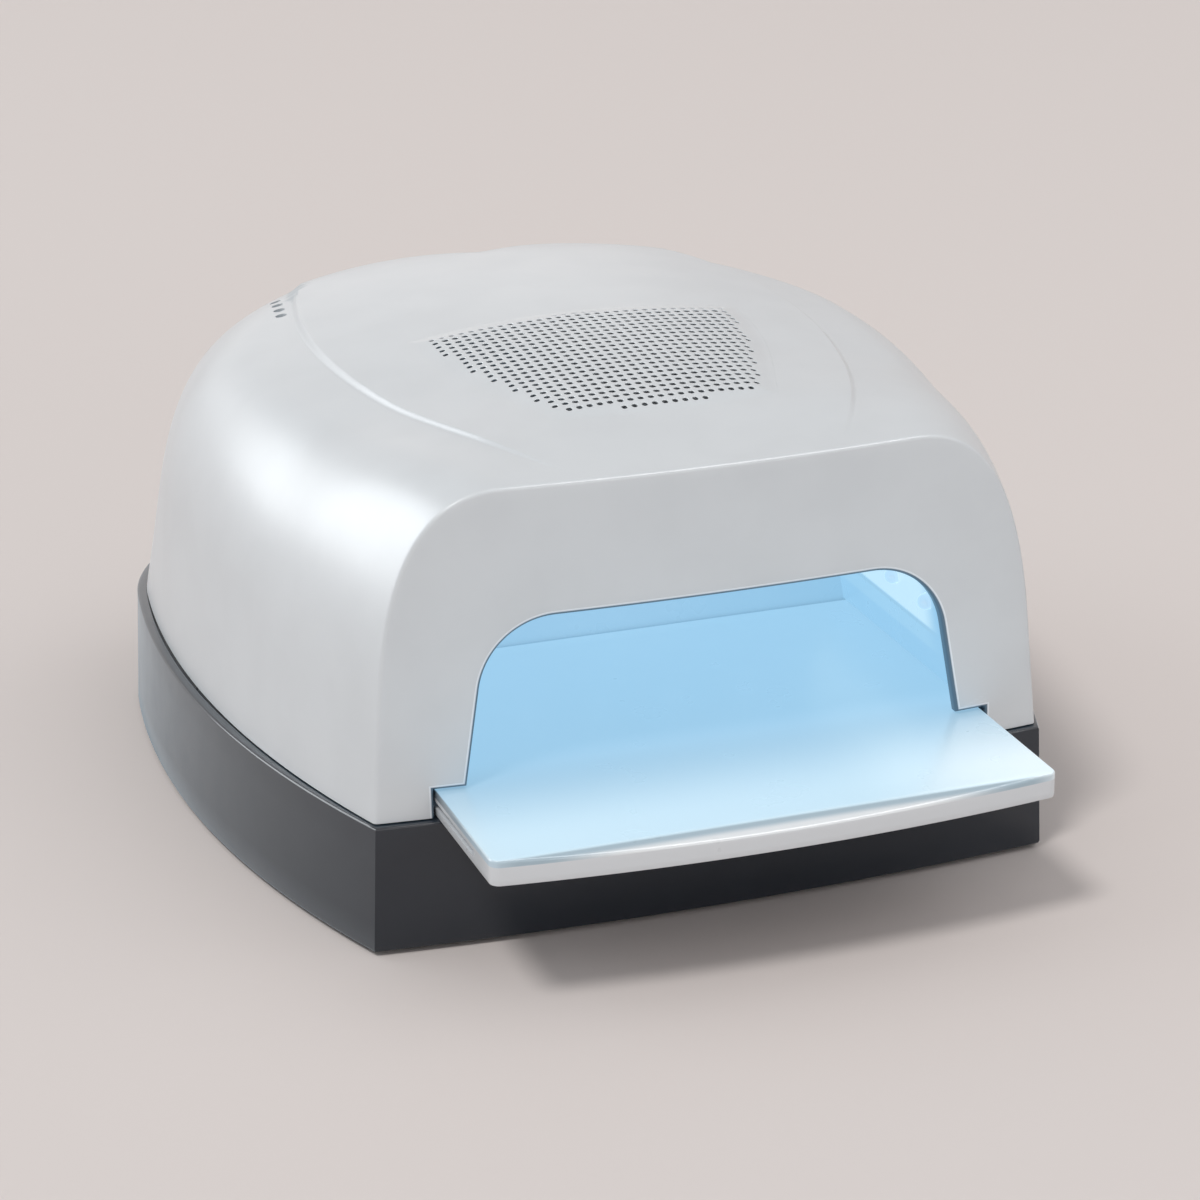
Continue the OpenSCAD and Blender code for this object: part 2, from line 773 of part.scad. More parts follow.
// The deck, with a hole for the cables
cable_hole_r = 8;
cable_hole_y = base_depth - 30;
module chassis_deck() {
    color([0.3, 0.31, 0.33])
        difference() {
            plan_slab(base_wall + fit_gap, deck_z, deck_top);
            at_each(base_posts)
                translate([0, 0, deck_top])
                    screw_seat(deck_t + 1);
            at_each(shell_posts)
                translate([0, 0, deck_z])
                    mirror([0, 0, 1])
                        screw_seat(deck_t + 1);
            translate([0, cable_hole_y, deck_z - 1])
                cylinder(r = cable_hole_r, h = deck_t + 2, $fn = 48);
        }
}
module deck_screws() {
    color([0.6, 0.61, 0.63])
        at_each(base_posts)
            translate([0, 0, deck_top])
                screw();
}
module shell_screws() {
    color([0.6, 0.61, 0.63])
        at_each(shell_posts)
            translate([0, 0, deck_z])
                mirror([0, 0, 1])
                    screw(deck_t - screw_head_h + bore_len);
}

// The hand tray: a cored plate with a bowed, bevelled front and a groove in each side
groove_z = tray_z + 2.4;
groove_start = 15;
tray_rear_y = chamber_depth - 2 * slide_gap;
tray_skin = 2.4;
tray_rim_w = 7;
tray_rib_w = 1.8;
tray_bow_r = bow_r(tray_half);
function tray_bow_y(x) = tray_front_y + tray_bow_r - sqrt(tray_bow_r * tray_bow_r - x * x);
module tray_plan() {
    r = tray_corner_r;
    slope = asin((tray_half - r) / tray_bow_r);
    tip = tray_half - r + r * sin(slope);
    c = [tray_half - r, tray_bow_y(tip) + r * cos(slope)];
    right = concat(
        [for (i = [0:12]) let (x = tip * i / 12) [x, tray_bow_y(x)]],
        [for (i = [1:6]) on_arc(c, r, mix(slope - 90, 0, i / 6))],
        [[tray_half, tray_rear_y]]
    );
    polygon(concat(right, [for (i = [len(right) - 1:-1:1]) [-right[i][0], right[i][1]]]));
}
module hand_tray() {
    core_front = -tray_reach + 10;
    core_rear = tray_rear_y - 5;
    cells_x = 6;
    cells_y = 5;
    cell_x = (2 * (tray_half - tray_rim_w) + tray_rib_w) / cells_x;
    cell_y = (core_rear - core_front + tray_rib_w) / cells_y;
    color([0.9, 0.92, 0.93])
        difference() {
            translate([0, 0, tray_z])
                linear_extrude(height = tray_t)
                    tray_plan();
            translate([-tray_half - 1, 0, 0])
                rotate([90, 0, 90])
                    linear_extrude(height = 2 * tray_half + 2)
                        polygon([
                            [-tray_reach, tray_top],
                            [tray_front_y - front_bow, tray_top - 2 * tray_bevel],
                            [tray_front_y - front_bow, tray_top + 1],
                            [-tray_reach, tray_top + 1]
                        ]);
            both_sides()
                translate([tray_half - groove_d, groove_start - tray_reach, groove_z])
                    cube([groove_d + 1, far, groove_h]);
            for (i = [0:cells_x - 1])
                for (j = [0:cells_y - 1])
                    translate([
                        -tray_half + tray_rim_w + i * cell_x, core_front + j * cell_y, tray_z - 1
                    ])
                        cube([cell_x - tray_rib_w, cell_y - tray_rib_w, tray_t - tray_skin + 1]);
        }
}

// The tray's guides: a bar on the deck with a tongue in the groove
guide_front_y = shell_plan[2] + shell_wall + 2;
module tray_guide() {
    along_y(guide_front_y, chamber_depth)
        polygon([
            [tray_half + slide_gap, deck_top],
            [guide_out, deck_top],
            [guide_out, guide_top],
            [tray_half + slide_gap, guide_top],
            [tray_half + slide_gap, groove_z + groove_h - slide_gap],
            [tray_half - groove_d + slide_gap, groove_z + groove_h - slide_gap],
            [tray_half - groove_d + slide_gap, groove_z + slide_gap],
            [tray_half + slide_gap, groove_z + slide_gap]
        ]);
}
module tray_guide_right() {
    color([0.25, 0.26, 0.28]) tray_guide();
}
module tray_guide_left() {
    color([0.25, 0.26, 0.28]) mirror([1, 0, 0]) tray_guide();
}

// Lamps: a round package with a domed lens, standing on the origin and shining along Z
led_r = 2.4;
led_out = 0.6;
board_t = 1.6;
led_cols = 5;
led_rows = 3;
led_pitch_x = 18;
led_pitch_y = 23;
led_first_y = 28;

// Places of the side and rear lamps and half heights of their boards
side_led_z = 70;
side_board_half = 5;
rear_led_z = 74;
rear_led_pitch = 25;
arch_out = reflector_set + reflector_t;
module led() {
    cylinder(r = led_r, h = reflector_t + led_out, $fn = 24);
    translate([0, 0, reflector_t + led_out])
        intersection() {
            sphere(r = led_r, $fn = 24);
            translate([-led_r, -led_r, -eps])
                cube([2 * led_r, 2 * led_r, led_r + 1]);
        }
}
module led_hole() {
    translate([0, 0, -1])
        cylinder(r = led_r + fit_gap, h = reflector_t + 5, $fn = 24);
}
module at_top_leds() {
    for (i = [0:led_cols - 1])
        for (j = [0:led_rows - 1])
            translate([
                (i - (led_cols - 1) / 2) * led_pitch_x, led_first_y + j * led_pitch_y,
                open_top + arch_out
            ])
                rotate([180, 0, 0])
                    children();
}
// The outer face of the reflector's right side: X straight out of it
module at_side() {
    translate([arch_side_x(side_led_z, arch_out), 0, side_led_z])
        rotate([0, -open_lean, 0])
            children();
}
module at_side_leds() {
    at_side()
        for (j = [0:led_rows - 1])
            translate([0, led_first_y + j * led_pitch_y, 0])
                rotate([0, -90, 0])
                    children();
}
module at_rear_leds() {
    for (i = [0:led_cols - 1])
        translate([
            (i - (led_cols - 1) / 2) * rear_led_pitch, chamber_depth + reflector_t, rear_led_z
        ])
            rotate([90, 0, 0])
                children();
}
module reflector_arch() {
    inner = arch_half(reflector_set, guide_top);
    inside = concat(inner, flipped(inner));
    outside = concat(
        [[guide_out, guide_top], [guide_out, guide_top + reflector_t]],
        arch_half(arch_out, guide_top + reflector_t)
    );
    color([0.8, 0.9, 0.97])
        difference() {
            intersection() {
                along_y(0, chamber_depth)
                    polygon(concat(outside, flipped(outside), mirrored(inside)));
                behind_front(shell_wall + seat_gap);
            }
            at_top_leds() led_hole();
            both_sides() at_side_leds() led_hole();
        }
}
module reflector_rear() {
    color([0.78, 0.88, 0.96])
        difference() {
            along_y(chamber_depth, chamber_depth + reflector_t)
                arch_2d(arch_out, deck_top);
            at_rear_leds() led_hole();
        }
}
rear_board_half = 8;
led_board_front = led_first_y - 12;
led_board_rear_y = led_first_y + (led_rows - 1) * led_pitch_y + 10;
module led_board_top() {
    color([0.85, 0.87, 0.85])
        translate([-arch_centre[0], led_board_front, open_top + arch_out])
            cube([2 * arch_centre[0], led_board_rear_y - led_board_front, board_t]);
}
module side_board() {
    at_side()
        translate([0, led_board_front, -side_board_half])
            cube([board_t, led_board_rear_y - led_board_front, 2 * side_board_half]);
}
module led_board_right() {
    color([0.85, 0.87, 0.85]) side_board();
}
module led_board_left() {
    color([0.85, 0.87, 0.85]) mirror([1, 0, 0]) side_board();
}
module led_board_rear() {
    half = rear_led_pitch * (led_cols - 1) / 2 + rear_board_half;
    color([0.85, 0.87, 0.85])
        translate([-half, chamber_depth + reflector_t, rear_led_z - rear_board_half])
            cube([2 * half, board_t, 2 * rear_board_half]);
}
module leds_top() {
    color([0.75, 0.85, 1]) at_top_leds() led();
}
module leds_right() {
    color([0.75, 0.85, 1]) at_side_leds() led();
}
module leds_left() {
    color([0.75, 0.85, 1]) mirror([1, 0, 0]) at_side_leds() led();
}
module leds_rear() {
    color([0.75, 0.85, 1]) at_rear_leds() led();
}

// Cooling: a finned sink on the upper board, with a flat fan on its fins
sink_z = open_top + arch_out + board_t;
sink_base_t = 2.5;
sink_half = arch_centre[0] - 2;
module heat_sink() {
    n = floor((sink_half - fin_t / 2) / fin_pitch);
    depth = led_board_rear_y - led_board_front;
    color([0.7, 0.71, 0.72])
        translate([0, led_board_front, sink_z]) {
            translate([-sink_half, 0, 0])
                cube([2 * sink_half, depth, sink_base_t]);
            for (i = [-n:n])
                translate([i * fin_pitch - fin_t / 2, 0, sink_base_t - eps])
                    cube([fin_t, depth, fin_h + eps]);
        }
}
fan_z = sink_z + sink_base_t + fin_h;
fan_bore_r = fan_w / 2 - 2;
hub_r = 12.5;
fan_floor = 2;
shaft_r = 1.5;
bearing_r = 3.2;
bearing_h = 7;
module at_fan() {
    translate([0, fan_y, fan_z]) children();
}
module fan_frame() {
    color([0.12, 0.12, 0.13])
        at_fan()
            difference() {
                union() {
                    difference() {
                        translate([-fan_w / 2, -fan_w / 2, 0])
                            cube([fan_w, fan_w, fan_t]);
                        translate([0, 0, -1])
                            cylinder(r = fan_bore_r, h = fan_t + 2, $fn = 96);
                        for (x = [-1, 1])
                            for (y = [-1, 1])
                                translate([x * (fan_w / 2 - 4), y * (fan_w / 2 - 4), -1])
                                    cylinder(r = 2.1, h = fan_t + 2, $fn = 24);
                    }
                    for (a = [45:90:315])
                        rotate([0, 0, a])
                            translate([hub_r - 2, -1.5, 0])
                                cube([fan_bore_r - hub_r + 3, 3, fan_floor]);
                    cylinder(r = hub_r, h = fan_floor, $fn = 48);
                    cylinder(r = bearing_r, h = bearing_h, $fn = 32);
                }
                translate([0, 0, 0.6])
                    cylinder(r = shaft_r + pin_gap, h = bearing_h, $fn = 32);
            }
}

// The rotor's blades: width, angle and thickness
blade_chord = 11;
blade_pitch = 32;
blade_t = 1.1;
module fan_rotor() {
    z0 = fan_floor + 0.5;
    z1 = fan_t - 0.7;
    tip = fan_bore_r - 1.2;
    color([0.14, 0.14, 0.15])
        at_fan() {
            difference() {
                translate([0, 0, z0])
                    cylinder(r = hub_r, h = z1 - z0, $fn = 48);
                translate([0, 0, z0 - 1])
                    cylinder(r = hub_r - 1.8, h = z1 - z0 - 0.8, $fn = 48);
            }
            translate([0, 0, 1])
                cylinder(r = shaft_r, h = z1 - 1.5, $fn = 32);
            intersection() {
                for (i = [0:fan_blades - 1])
                    rotate([0, 0, i * 360 / fan_blades])
                        translate([(hub_r + tip) / 2, 0, (z0 + z1) / 2])
                            rotate([blade_pitch, 0, 0])
                                cube([tip - hub_r + 2, blade_chord, blade_t], center = true);
                difference() {
                    translate([0, 0, z0])
                        cylinder(r = tip, h = z1 - z0, $fn = 96);
                    translate([0, 0, z0 - 1])
                        cylinder(r = hub_r - 0.6, h = fan_t, $fn = 48);
                }
            }
        }
}

// Controls on the rear shoulder
button_count = 4;
button_down = 1.5;
flange_w = 1.1;
flange_t = 1.2;
pipe_r = 1;
pipe_up = 6.5;
bezel_post_r = 2.2;
switch_board_drop = 7;
tact_h = 2;
plunger_h = 0.5;
board_face = bezel_back - switch_board_drop;
function button_x(i) = (i - (button_count - 1) / 2) * button_pitch;
module at_button(i) {
    at_bezel()
        translate([button_x(i), button_down, 0])
            children();
}
module control_bezel() {
    color([0.12, 0.13, 0.15])
        difference() {
            union() {
                bezel_block(bezel_half, bezel_half_h, bezel_back, bezel_face);
                for (x = [-1, 1])
                    for (y = [-1, 1])
                        at_bezel(board_face)
                            translate([x * button_pitch, y * (bezel_half_h - 4.8), 0])
                                cylinder(r = bezel_post_r, h = switch_board_drop + 1, $fn = 32);
            }
            for (i = [0:button_count - 1]) {
                at_button(i)
                    translate([0, 0, bezel_back - 1])
                        cylinder(r = button_r + button_gap, h = bezel_t + 2, $fn = 48);
                at_bezel(bezel_back - 1)
                    translate([button_x(i), -pipe_up, 0])
                        cylinder(r = pipe_r + pin_gap, h = bezel_t + 2, $fn = 24);
            }
        }
}
module push_button(i) {
    z_top = bezel_face + button_rise;
    z_flange = bezel_back - seat_gap;
    z_stem = board_face + tact_h + plunger_h + button_travel + 0.15;
    round = 0.7;
    at_button(i)
        rotate_extrude($fn = 48)
            polygon(concat(
                [[0, z_stem], [1.4, z_stem], [1.4, z_flange - flange_t]],
                [[button_r + flange_w, z_flange - flange_t], [button_r + flange_w, z_flange]],
                [[button_r, z_flange]],
                [for (k = [0:5])
                    on_arc([button_r - round, z_top - round], round, k * 18)],
                [[button_r * 0.6, z_top - 0.15], [0, z_top - 0.3]]
            ));
}
module timer_button_a() {
    color([0.82, 0.84, 0.86]) push_button(0);
}
module timer_button_b() {
    color([0.82, 0.84, 0.86]) push_button(1);
}
module timer_button_c() {
    color([0.82, 0.84, 0.86]) push_button(2);
}
module start_button() {
    color([0.45, 0.7, 0.9]) push_button(3);
}
module light_pipes() {
    color([0.8, 0.95, 1])
        for (i = [0:button_count - 1])
            at_bezel(board_face)
                translate([button_x(i), -pipe_up, 0])
                    cylinder(r = pipe_r, h = bezel_face - board_face, $fn = 24);
}
module button_board() {
    color([0.1, 0.35, 0.2])
        bezel_block(bezel_half - 4, bezel_half_h - 2.2, board_face - board_t, board_face);
}
module tact_switches() {
    color([0.2, 0.2, 0.2])
        for (i = [0:button_count - 1])
            at_button(i)
                translate([0, 0, board_face]) {
                    translate([-3, -3, 0])
                        cube([6, 6, tact_h]);
                    translate([0, 0, tact_h - eps])
                        cylinder(r = 1.6, h = plunger_h + eps, $fn = 24);
                }
}

// The main board stands behind the chamber
main_half = 60;
main_front_y = chamber_depth + 16;
main_depth = 84;
main_rise = 6;
main_z = deck_top + main_rise + board_t;
standoff_in = 6;
standoffs = [
    [main_half - standoff_in, main_front_y + standoff_in],
    [main_half - standoff_in, main_front_y + main_depth - standoff_in]
];
module main_board() {
    color([0.1, 0.35, 0.2])
        difference() {
            translate([-main_half, main_front_y, deck_top + main_rise])
                cube([2 * main_half, main_depth, board_t]);
            at_each(standoffs)
                translate([0, 0, deck_top])
                    cylinder(r = screw_r + fit_gap, h = 20, $fn = 24);
        }
}
module board_standoffs() {
    color([0.75, 0.65, 0.35])
        at_each(standoffs)
            translate([0, 0, deck_top])
                difference() {
                    cylinder(r = 3, h = main_rise, $fn = 32);
                    translate([0, 0, 0.8])
                        cylinder(r = screw_r + pin_gap, h = main_rise, $fn = 32);
                }
}
module board_screws() {
    color([0.6, 0.61, 0.63])
        at_each(standoffs)
            translate([0, 0, main_z + screw_head_h])
                screw(5);
}

// Parts on the main board: three capacitors, two coils, four chips, five plugs and a buzzer
capacitor_r = 5;
capacitor_h = 16;
capacitor_pitch = 13;
coil_r = 7.5;
coil_bore_r = 3;
coil_h = 8;
coil_pitch = 20;
chip_w = 9;
chip_h = 1.6;
chip_pitch = 18;
plug_size = [11, 7, 7];
plug_pitch = 17;
buzzer_r = 6;
buzzer_h = 7.5;
part_row = main_front_y + 17;
chip_row = main_front_y + 40;
plug_row = main_front_y + main_depth - plug_size[1] - 5;
module board_parts() {
    color([0.15, 0.15, 0.17]) {
        for (i = [0:2])
            translate([i * capacitor_pitch - main_half * 0.6, part_row, main_z])
                cylinder(r = capacitor_r, h = capacitor_h, $fn = 32);
        for (i = [0:1])
            translate([i * coil_pitch + main_half * 0.24, part_row, main_z])
                difference() {
                    cylinder(r = coil_r, h = coil_h, $fn = 32);
                    translate([0, 0, -1])
                        cylinder(r = coil_bore_r, h = coil_h + 2, $fn = 24);
                }
        for (i = [0:3])
            translate([i * chip_pitch - main_half * 0.54, chip_row, main_z])
                cube([chip_w, chip_w, chip_h]);
        for (i = [0:4])
            translate([i * plug_pitch - main_half * 0.7, plug_row, main_z])
                cube(plug_size);
        translate([main_half * 0.74, chip_row + chip_w / 2, main_z])
            cylinder(r = buzzer_r, h = buzzer_h, $fn = 32);
    }
}

// Socket panel, power inlet and rocker switch in the base's rear
module rear_panel() {
    color([0.1, 0.1, 0.11])
        difference() {
            translate([-socket_half, socket_y - socket_t, plate_top])
                cube([2 * socket_half, socket_t, deck_z - plate_top]);
            translate([inlet_x, socket_y + 1, socket_z])
                rotate([90, 0, 0])
                    cylinder(r = inlet_r + pin_gap, h = socket_t + 2, $fn = 32);
            translate([
                switch_x - switch_half - fit_gap, socket_y - socket_t - 1,
                socket_z - switch_half_h - fit_gap
            ])
                cube([2 * (switch_half + fit_gap), socket_t + 2, 2 * (switch_half_h + fit_gap)]);
        }
}

// The power inlet: a round socket with a pin
inlet_r = 5;
inlet_bore_r = 2.8;
inlet_bore_len = 10;
inlet_pin_r = 1.05;
inlet_lip = 1.5;
module power_inlet() {
    color([0.12, 0.12, 0.13])
        translate([inlet_x, socket_y + inlet_lip, socket_z])
            rotate([90, 0, 0]) {
                difference() {
                    union() {
                        cylinder(r = inlet_r + 1.5, h = inlet_lip, $fn = 48);
                        cylinder(r = inlet_r, h = inlet_lip + socket_t + eps, $fn = 48);
                        translate([-6, -7, inlet_lip + socket_t])
                            cube([12, 13, 12]);
                    }
                    translate([0, 0, -1])
                        cylinder(r = inlet_bore_r, h = inlet_bore_len + 1, $fn = 32);
                }
                translate([0, 0, 1])
                    cylinder(r = inlet_pin_r, h = inlet_bore_len, $fn = 24);
            }
}

// The rocker switch: housing, lip, rocker and its pins
switch_half = 9.7;
switch_half_h = 8.7;
switch_lip = 1.4;
switch_lip_w = 1.3;
rocker_half = 6;
rocker_half_h = 6.2;
rocker_rise = 3.6;
rocker_dip = 1;
rocker_gap = 0.3;
rocker_tilt = 8;
rocker_pin_r = 1.2;
rocker_pin_len = 1.8;
pivot_y = socket_y - 2.2;
module at_switch() {
    translate([switch_x, 0, socket_z]) children();
}
module switch_housing() {
    cavity_h = norm([rocker_half_h, rocker_rise]) + rocker_gap;
    color([0.1, 0.1, 0.11])
        at_switch()
            difference() {
                union() {
                    translate([-switch_half, socket_y - 13, -switch_half_h])
                        cube([2 * switch_half, 13 + eps, 2 * switch_half_h]);
                    translate([-switch_half - switch_lip_w, socket_y, -switch_half_h - switch_lip_w])
                        cube([
                            2 * (switch_half + switch_lip_w), switch_lip,
                            2 * (switch_half_h + switch_lip_w)
                        ]);
                }
                translate([-rocker_half - rocker_gap, socket_y - 11, -cavity_h])
                    cube([2 * (rocker_half + rocker_gap), 20, 2 * cavity_h]);
                translate([-rocker_half - rocker_pin_len - 0.5, pivot_y, 0])
                    rotate([0, 90, 0])
                        cylinder(
                            r = rocker_pin_r + pin_gap,
                            h = 2 * (rocker_half + rocker_pin_len + 0.5),
                            $fn = 32
                        );
            }
}
module switch_rocker() {
    color([0.75, 0.2, 0.18])
        at_switch()
            translate([0, pivot_y, 0])
                rotate([-rocker_tilt, 0, 0]) {
                    translate([-rocker_half, 0, 0])
                        rotate([90, 0, 90])
                            linear_extrude(height = 2 * rocker_half)
                                polygon([
                                    [-3, -rocker_half_h + 1],
                                    [rocker_rise, -rocker_half_h],
                                    [rocker_rise - rocker_dip, 0],
                                    [rocker_rise, rocker_half_h],
                                    [-3, rocker_half_h - 1]
                                ]);
                    translate([-rocker_half - rocker_pin_len, 0, 0])
                        rotate([0, 90, 0])
                            cylinder(
                                r = rocker_pin_r,
                                h = 2 * (rocker_half + rocker_pin_len),
                                $fn = 32
                            );
                }
}

placed() outer_shell();
placed() vent_grille();
placed() base_frame();
placed() bottom_plate();
placed() chassis_deck();
placed() rubber_feet();
placed() hand_tray();
placed() tray_guide_left();
placed() tray_guide_right();
placed() reflector_arch();
placed() reflector_rear();
placed() led_board_top();
placed() led_board_left();
placed() led_board_right();
placed() led_board_rear();
placed() leds_top();
placed() leds_left();
placed() leds_right();
placed() leds_rear();
placed() heat_sink();
placed() fan_frame();
placed() fan_rotor();
placed() control_bezel();
placed() timer_button_a();
placed() timer_button_b();
placed() timer_button_c();
placed() start_button();
placed() light_pipes();
placed() button_board();
placed() tact_switches();
placed() main_board();
placed() board_parts();
placed() board_standoffs();
placed() board_screws();
placed() rear_panel();
placed() power_inlet();
placed() switch_housing();
placed() switch_rocker();
placed() base_screws();
placed() deck_screws();
placed() shell_screws();
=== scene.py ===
import math

import bmesh
import bpy
import numpy as np
from mathutils import Matrix, Vector

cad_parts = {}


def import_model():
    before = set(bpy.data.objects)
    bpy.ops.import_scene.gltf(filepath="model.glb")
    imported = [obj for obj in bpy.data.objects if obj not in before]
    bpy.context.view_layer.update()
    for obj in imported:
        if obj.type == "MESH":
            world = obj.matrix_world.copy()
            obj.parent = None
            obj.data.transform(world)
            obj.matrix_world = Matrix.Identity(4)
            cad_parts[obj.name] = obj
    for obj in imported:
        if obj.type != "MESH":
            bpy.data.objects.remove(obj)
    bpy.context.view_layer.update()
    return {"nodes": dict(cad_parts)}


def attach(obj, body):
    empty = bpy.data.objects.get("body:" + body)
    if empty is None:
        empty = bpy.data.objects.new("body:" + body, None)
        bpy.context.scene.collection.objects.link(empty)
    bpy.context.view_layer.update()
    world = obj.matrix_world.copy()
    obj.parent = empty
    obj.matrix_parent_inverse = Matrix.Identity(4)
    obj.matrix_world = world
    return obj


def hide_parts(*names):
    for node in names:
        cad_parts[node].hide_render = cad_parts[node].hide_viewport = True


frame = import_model()

# Sizes, in millimetres, as in the CAD source
CENTRE_Y = 107.75  # the frame's origin, measured back from the front corners
BASE_HALF, BASE_MID_HALF, MID_Y, DEPTH = 100.0, 125.0, 136.0, 268.0
RIM_TAPER, REVEAL_FRONT, REVEAL_MID, REVEAL_END = 0.985, 0.4, 3.4, 2.1
SHELL_Z, RIM_Z, BASE_Z = 38.4, 38.0, 1.2
CORNER_R, REAR_BOW_R, FRONT_BOW = 76.0, 325.0, 5.7
FRONT_H, CROWN_H, CROWN_Y, CROWN_FALL = 128.4, 137.8, 128.0, 12.7
PANEL_HALF, PANEL_MID_Y, PANEL_R = 74.2, 128.0, 230.0
PANEL_START, PANEL_STEP, PANEL_FRONT_STEP, PANEL_SOFT = 4, 2.0, 1.0, 0.9
# where the panel's step is whole in front and grows again; from the rear, where it is tallest, fades and ends
PANEL_FULL, PANEL_RISE, PANEL_TALL, PANEL_FADE, PANEL_END = 45, 60, 90, 66, 30
CROWN_FULL, SIDE_SHOULDER_Y, REAR_SHOULDER_RUN = 80, 130, 115.9
FACE_LEAN = math.radians(2.8)
RIDGE_END = 71.0
# the shoulder in front, at the side and at the rear, and the wall's draft at the side and at the rear
SHOULDER_W, SHOULDER_H, DRAFT = (39.0, 30.5, 66.0), (58.0, 42.0, 70.0), (0.09, 0.24)
# how far the shoulder's curve is pulled up from the wall, inward over it, and along the wall from below
PULL_UP, PULL_IN, PULL_OUT = 0.61, 0.36, 0.6
OPEN_HALF, OPEN_TOP, OPEN_R, OPEN_LEAN = 72.5, 92.0, 22.0, math.radians(9.3)
TRAY_HALF, TRAY_Z, TRAY_T, TRAY_REACH, TRAY_REAR = 81.0, 38.3, 7.4, 46.8, 96.4
TRAY_CORNER_R, TRAY_EDGE_R, TRAY_FALL = 3.0, 0.8, 1.6
GROOVE_X, GROOVE_START, GROOVE_END, GROOVE_Z, GROOVE_R = 78.8, 15, 120, (2.4, 4.2), 0.4
CORE_HALF, CORE_RIB, CORE_TOP, CORE_COLS, CORE_ROWS = 74, 1.8, 2.4, 6, 5
CORE_FRONT, CORE_REAR = 10, 5
REFLECTOR_SET, REFLECTOR_T = 7.0, 1.5
VENT_PX, VENT_PY, VENT_R, VENT_T = 3.0, 3.3, 1.05, 1.3
VENT_Y0, VENT_Y1, VENT_X0, VENT_X1, VENT_BORDER = 40.0, 116.0, 28.5, 46.5, 4.0
VENT_FRONT_BOW, VENT_REAR_BOW, VENT_GAP, VENT_SLACK = 4, 3, 0.012, 0.75
# the grille's pillow and its middle: their height, and from where to where inward they rise
PILLOW, PILLOW_RISE, PILLOW_MIDDLE, PILLOW_MIDDLE_RISE = 1.25, (0, 9), 0.35, (6, 34)
BEZEL_X, BEZEL_H, BEZEL_LEDGE, BEZEL_FRAME, BEZEL_GAP = 35.0, 10.0, 2.0, 3.0, 0.2
BEZEL_FACE, BEZEL_BACK, BEZEL_RING_BACK = -1.3, -5.6, -8.8
RING_CUT, WALL_CUT = (-12, 5), (-20, 20)  # from where to where the panel's frame and the shell's wall are cut
SIDE_HOLE_R, SIDE_HOLES, SIDE_HOLE_FIRST, SIDE_HOLE_LAST = 1.8, 4, (72.5, 180.5), (69.0, 200.5)
EDGE_R, LIP_R, LIP_BACK, NOTCH_GAP, WALL = 1.1, 1.4, 3.2, 0.6, 2.6
VENT_CUT_Z, HOLE_CUT_Z = (120, 150), (88, 148)  # from below to above the shell's wall


def mix(a, b, t):
    return a + (b - a) * t


def smooth(e0, e1, v):
    t = np.clip((v - e0) / (e1 - e0), 0, 1)
    return t * t * (3 - 2 * t)


class Plan:
    """The outline of the shell or the base, seen from above: side arc, corner arc and rear arc."""

    def __init__(self, front, mid, y0, ym, y1):
        self.front, self.y0, self.y1 = front, y0, y1
        self.r = ((ym - y0) ** 2 + (mid - front) ** 2) / (2 * (mid - front))
        self.side = np.array([mid - self.r, ym])
        self.rear = np.array([0, y1 - REAR_BOW_R])
        ra, rb = self.r - CORNER_R, REAR_BOW_R - CORNER_R
        v = self.rear - self.side
        d = np.hypot(*v)
        e = v / d
        along = (ra * ra - rb * rb + d * d) / (2 * d)
        self.corner = self.side + along * e + math.sqrt(ra * ra - along * along) * np.array([-e[1], e[0]])
        a, b = self.corner - self.side, self.corner - self.rear
        self.turn, self.last = math.atan2(a[1], a[0]), math.atan2(b[1], b[0])

    def start(self, y):
        return math.asin((y - self.side[1]) / self.r)

    def at(self, run, y):
        """Points run millimetres along the right half's outline, counted from y."""
        s = self.start(y)
        one = self.r * (self.turn - s)
        two = CORNER_R * (self.last - self.turn)
        a1 = s + np.minimum(run, one) / self.r
        a2 = self.turn + np.clip(run - one, 0, two) / CORNER_R
        a3 = self.last + np.maximum(run - one - two, 0) / REAR_BOW_R
        out = []
        for k, f in ((0, np.cos), (1, np.sin)):
            p1 = self.side[k] + self.r * f(a1)
            p2 = self.corner[k] + CORNER_R * f(a2)
            p3 = self.rear[k] + REAR_BOW_R * f(a3)
            out.append(np.where(run <= one, p1, np.where(run <= one + two, p2, p3)))
        return out

    def length(self, y):
        return (
            self.r * (self.turn - self.start(y))
            + CORNER_R * (self.last - self.turn)
            + REAR_BOW_R * (math.pi / 2 - self.last)
        )

    def half_width(self, y, inset):
        """The side arc's distance from the middle, drawn in by inset."""
        return self.side[0] + math.sqrt((self.r - inset) ** 2 - (y - self.side[1]) ** 2)

    def bow(self, x, inset=0.0):
        r = (self.front**2 + FRONT_BOW**2) / (2 * FRONT_BOW)
        return self.y0 - FRONT_BOW + r - np.sqrt((r - inset) ** 2 - x * x)


BASE = Plan(BASE_HALF, BASE_MID_HALF, 0.0, MID_Y, DEPTH)
SHELL = Plan(
    BASE_HALF * RIM_TAPER - REVEAL_FRONT,
    BASE_MID_HALF * RIM_TAPER - REVEAL_MID,
    REVEAL_END,
    MID_Y,
    DEPTH - REVEAL_END,
)
RIDGE_Y = SHELL.y1 - RIDGE_END


# The dome's surface
def panel_edge(y):
    y = np.clip(y, 0, SHELL.y1)
    return PANEL_HALF - PANEL_R + np.sqrt(PANEL_R**2 - (y - PANEL_MID_Y) ** 2)


def bare_top(x, y):
    return (
        CROWN_H
        - (CROWN_H - FRONT_H) * ((CROWN_Y - np.maximum(0, y)) / CROWN_Y) ** 2
        - CROWN_FALL * (x / BASE_HALF) ** 2 * smooth(0, CROWN_FULL, y)
    )


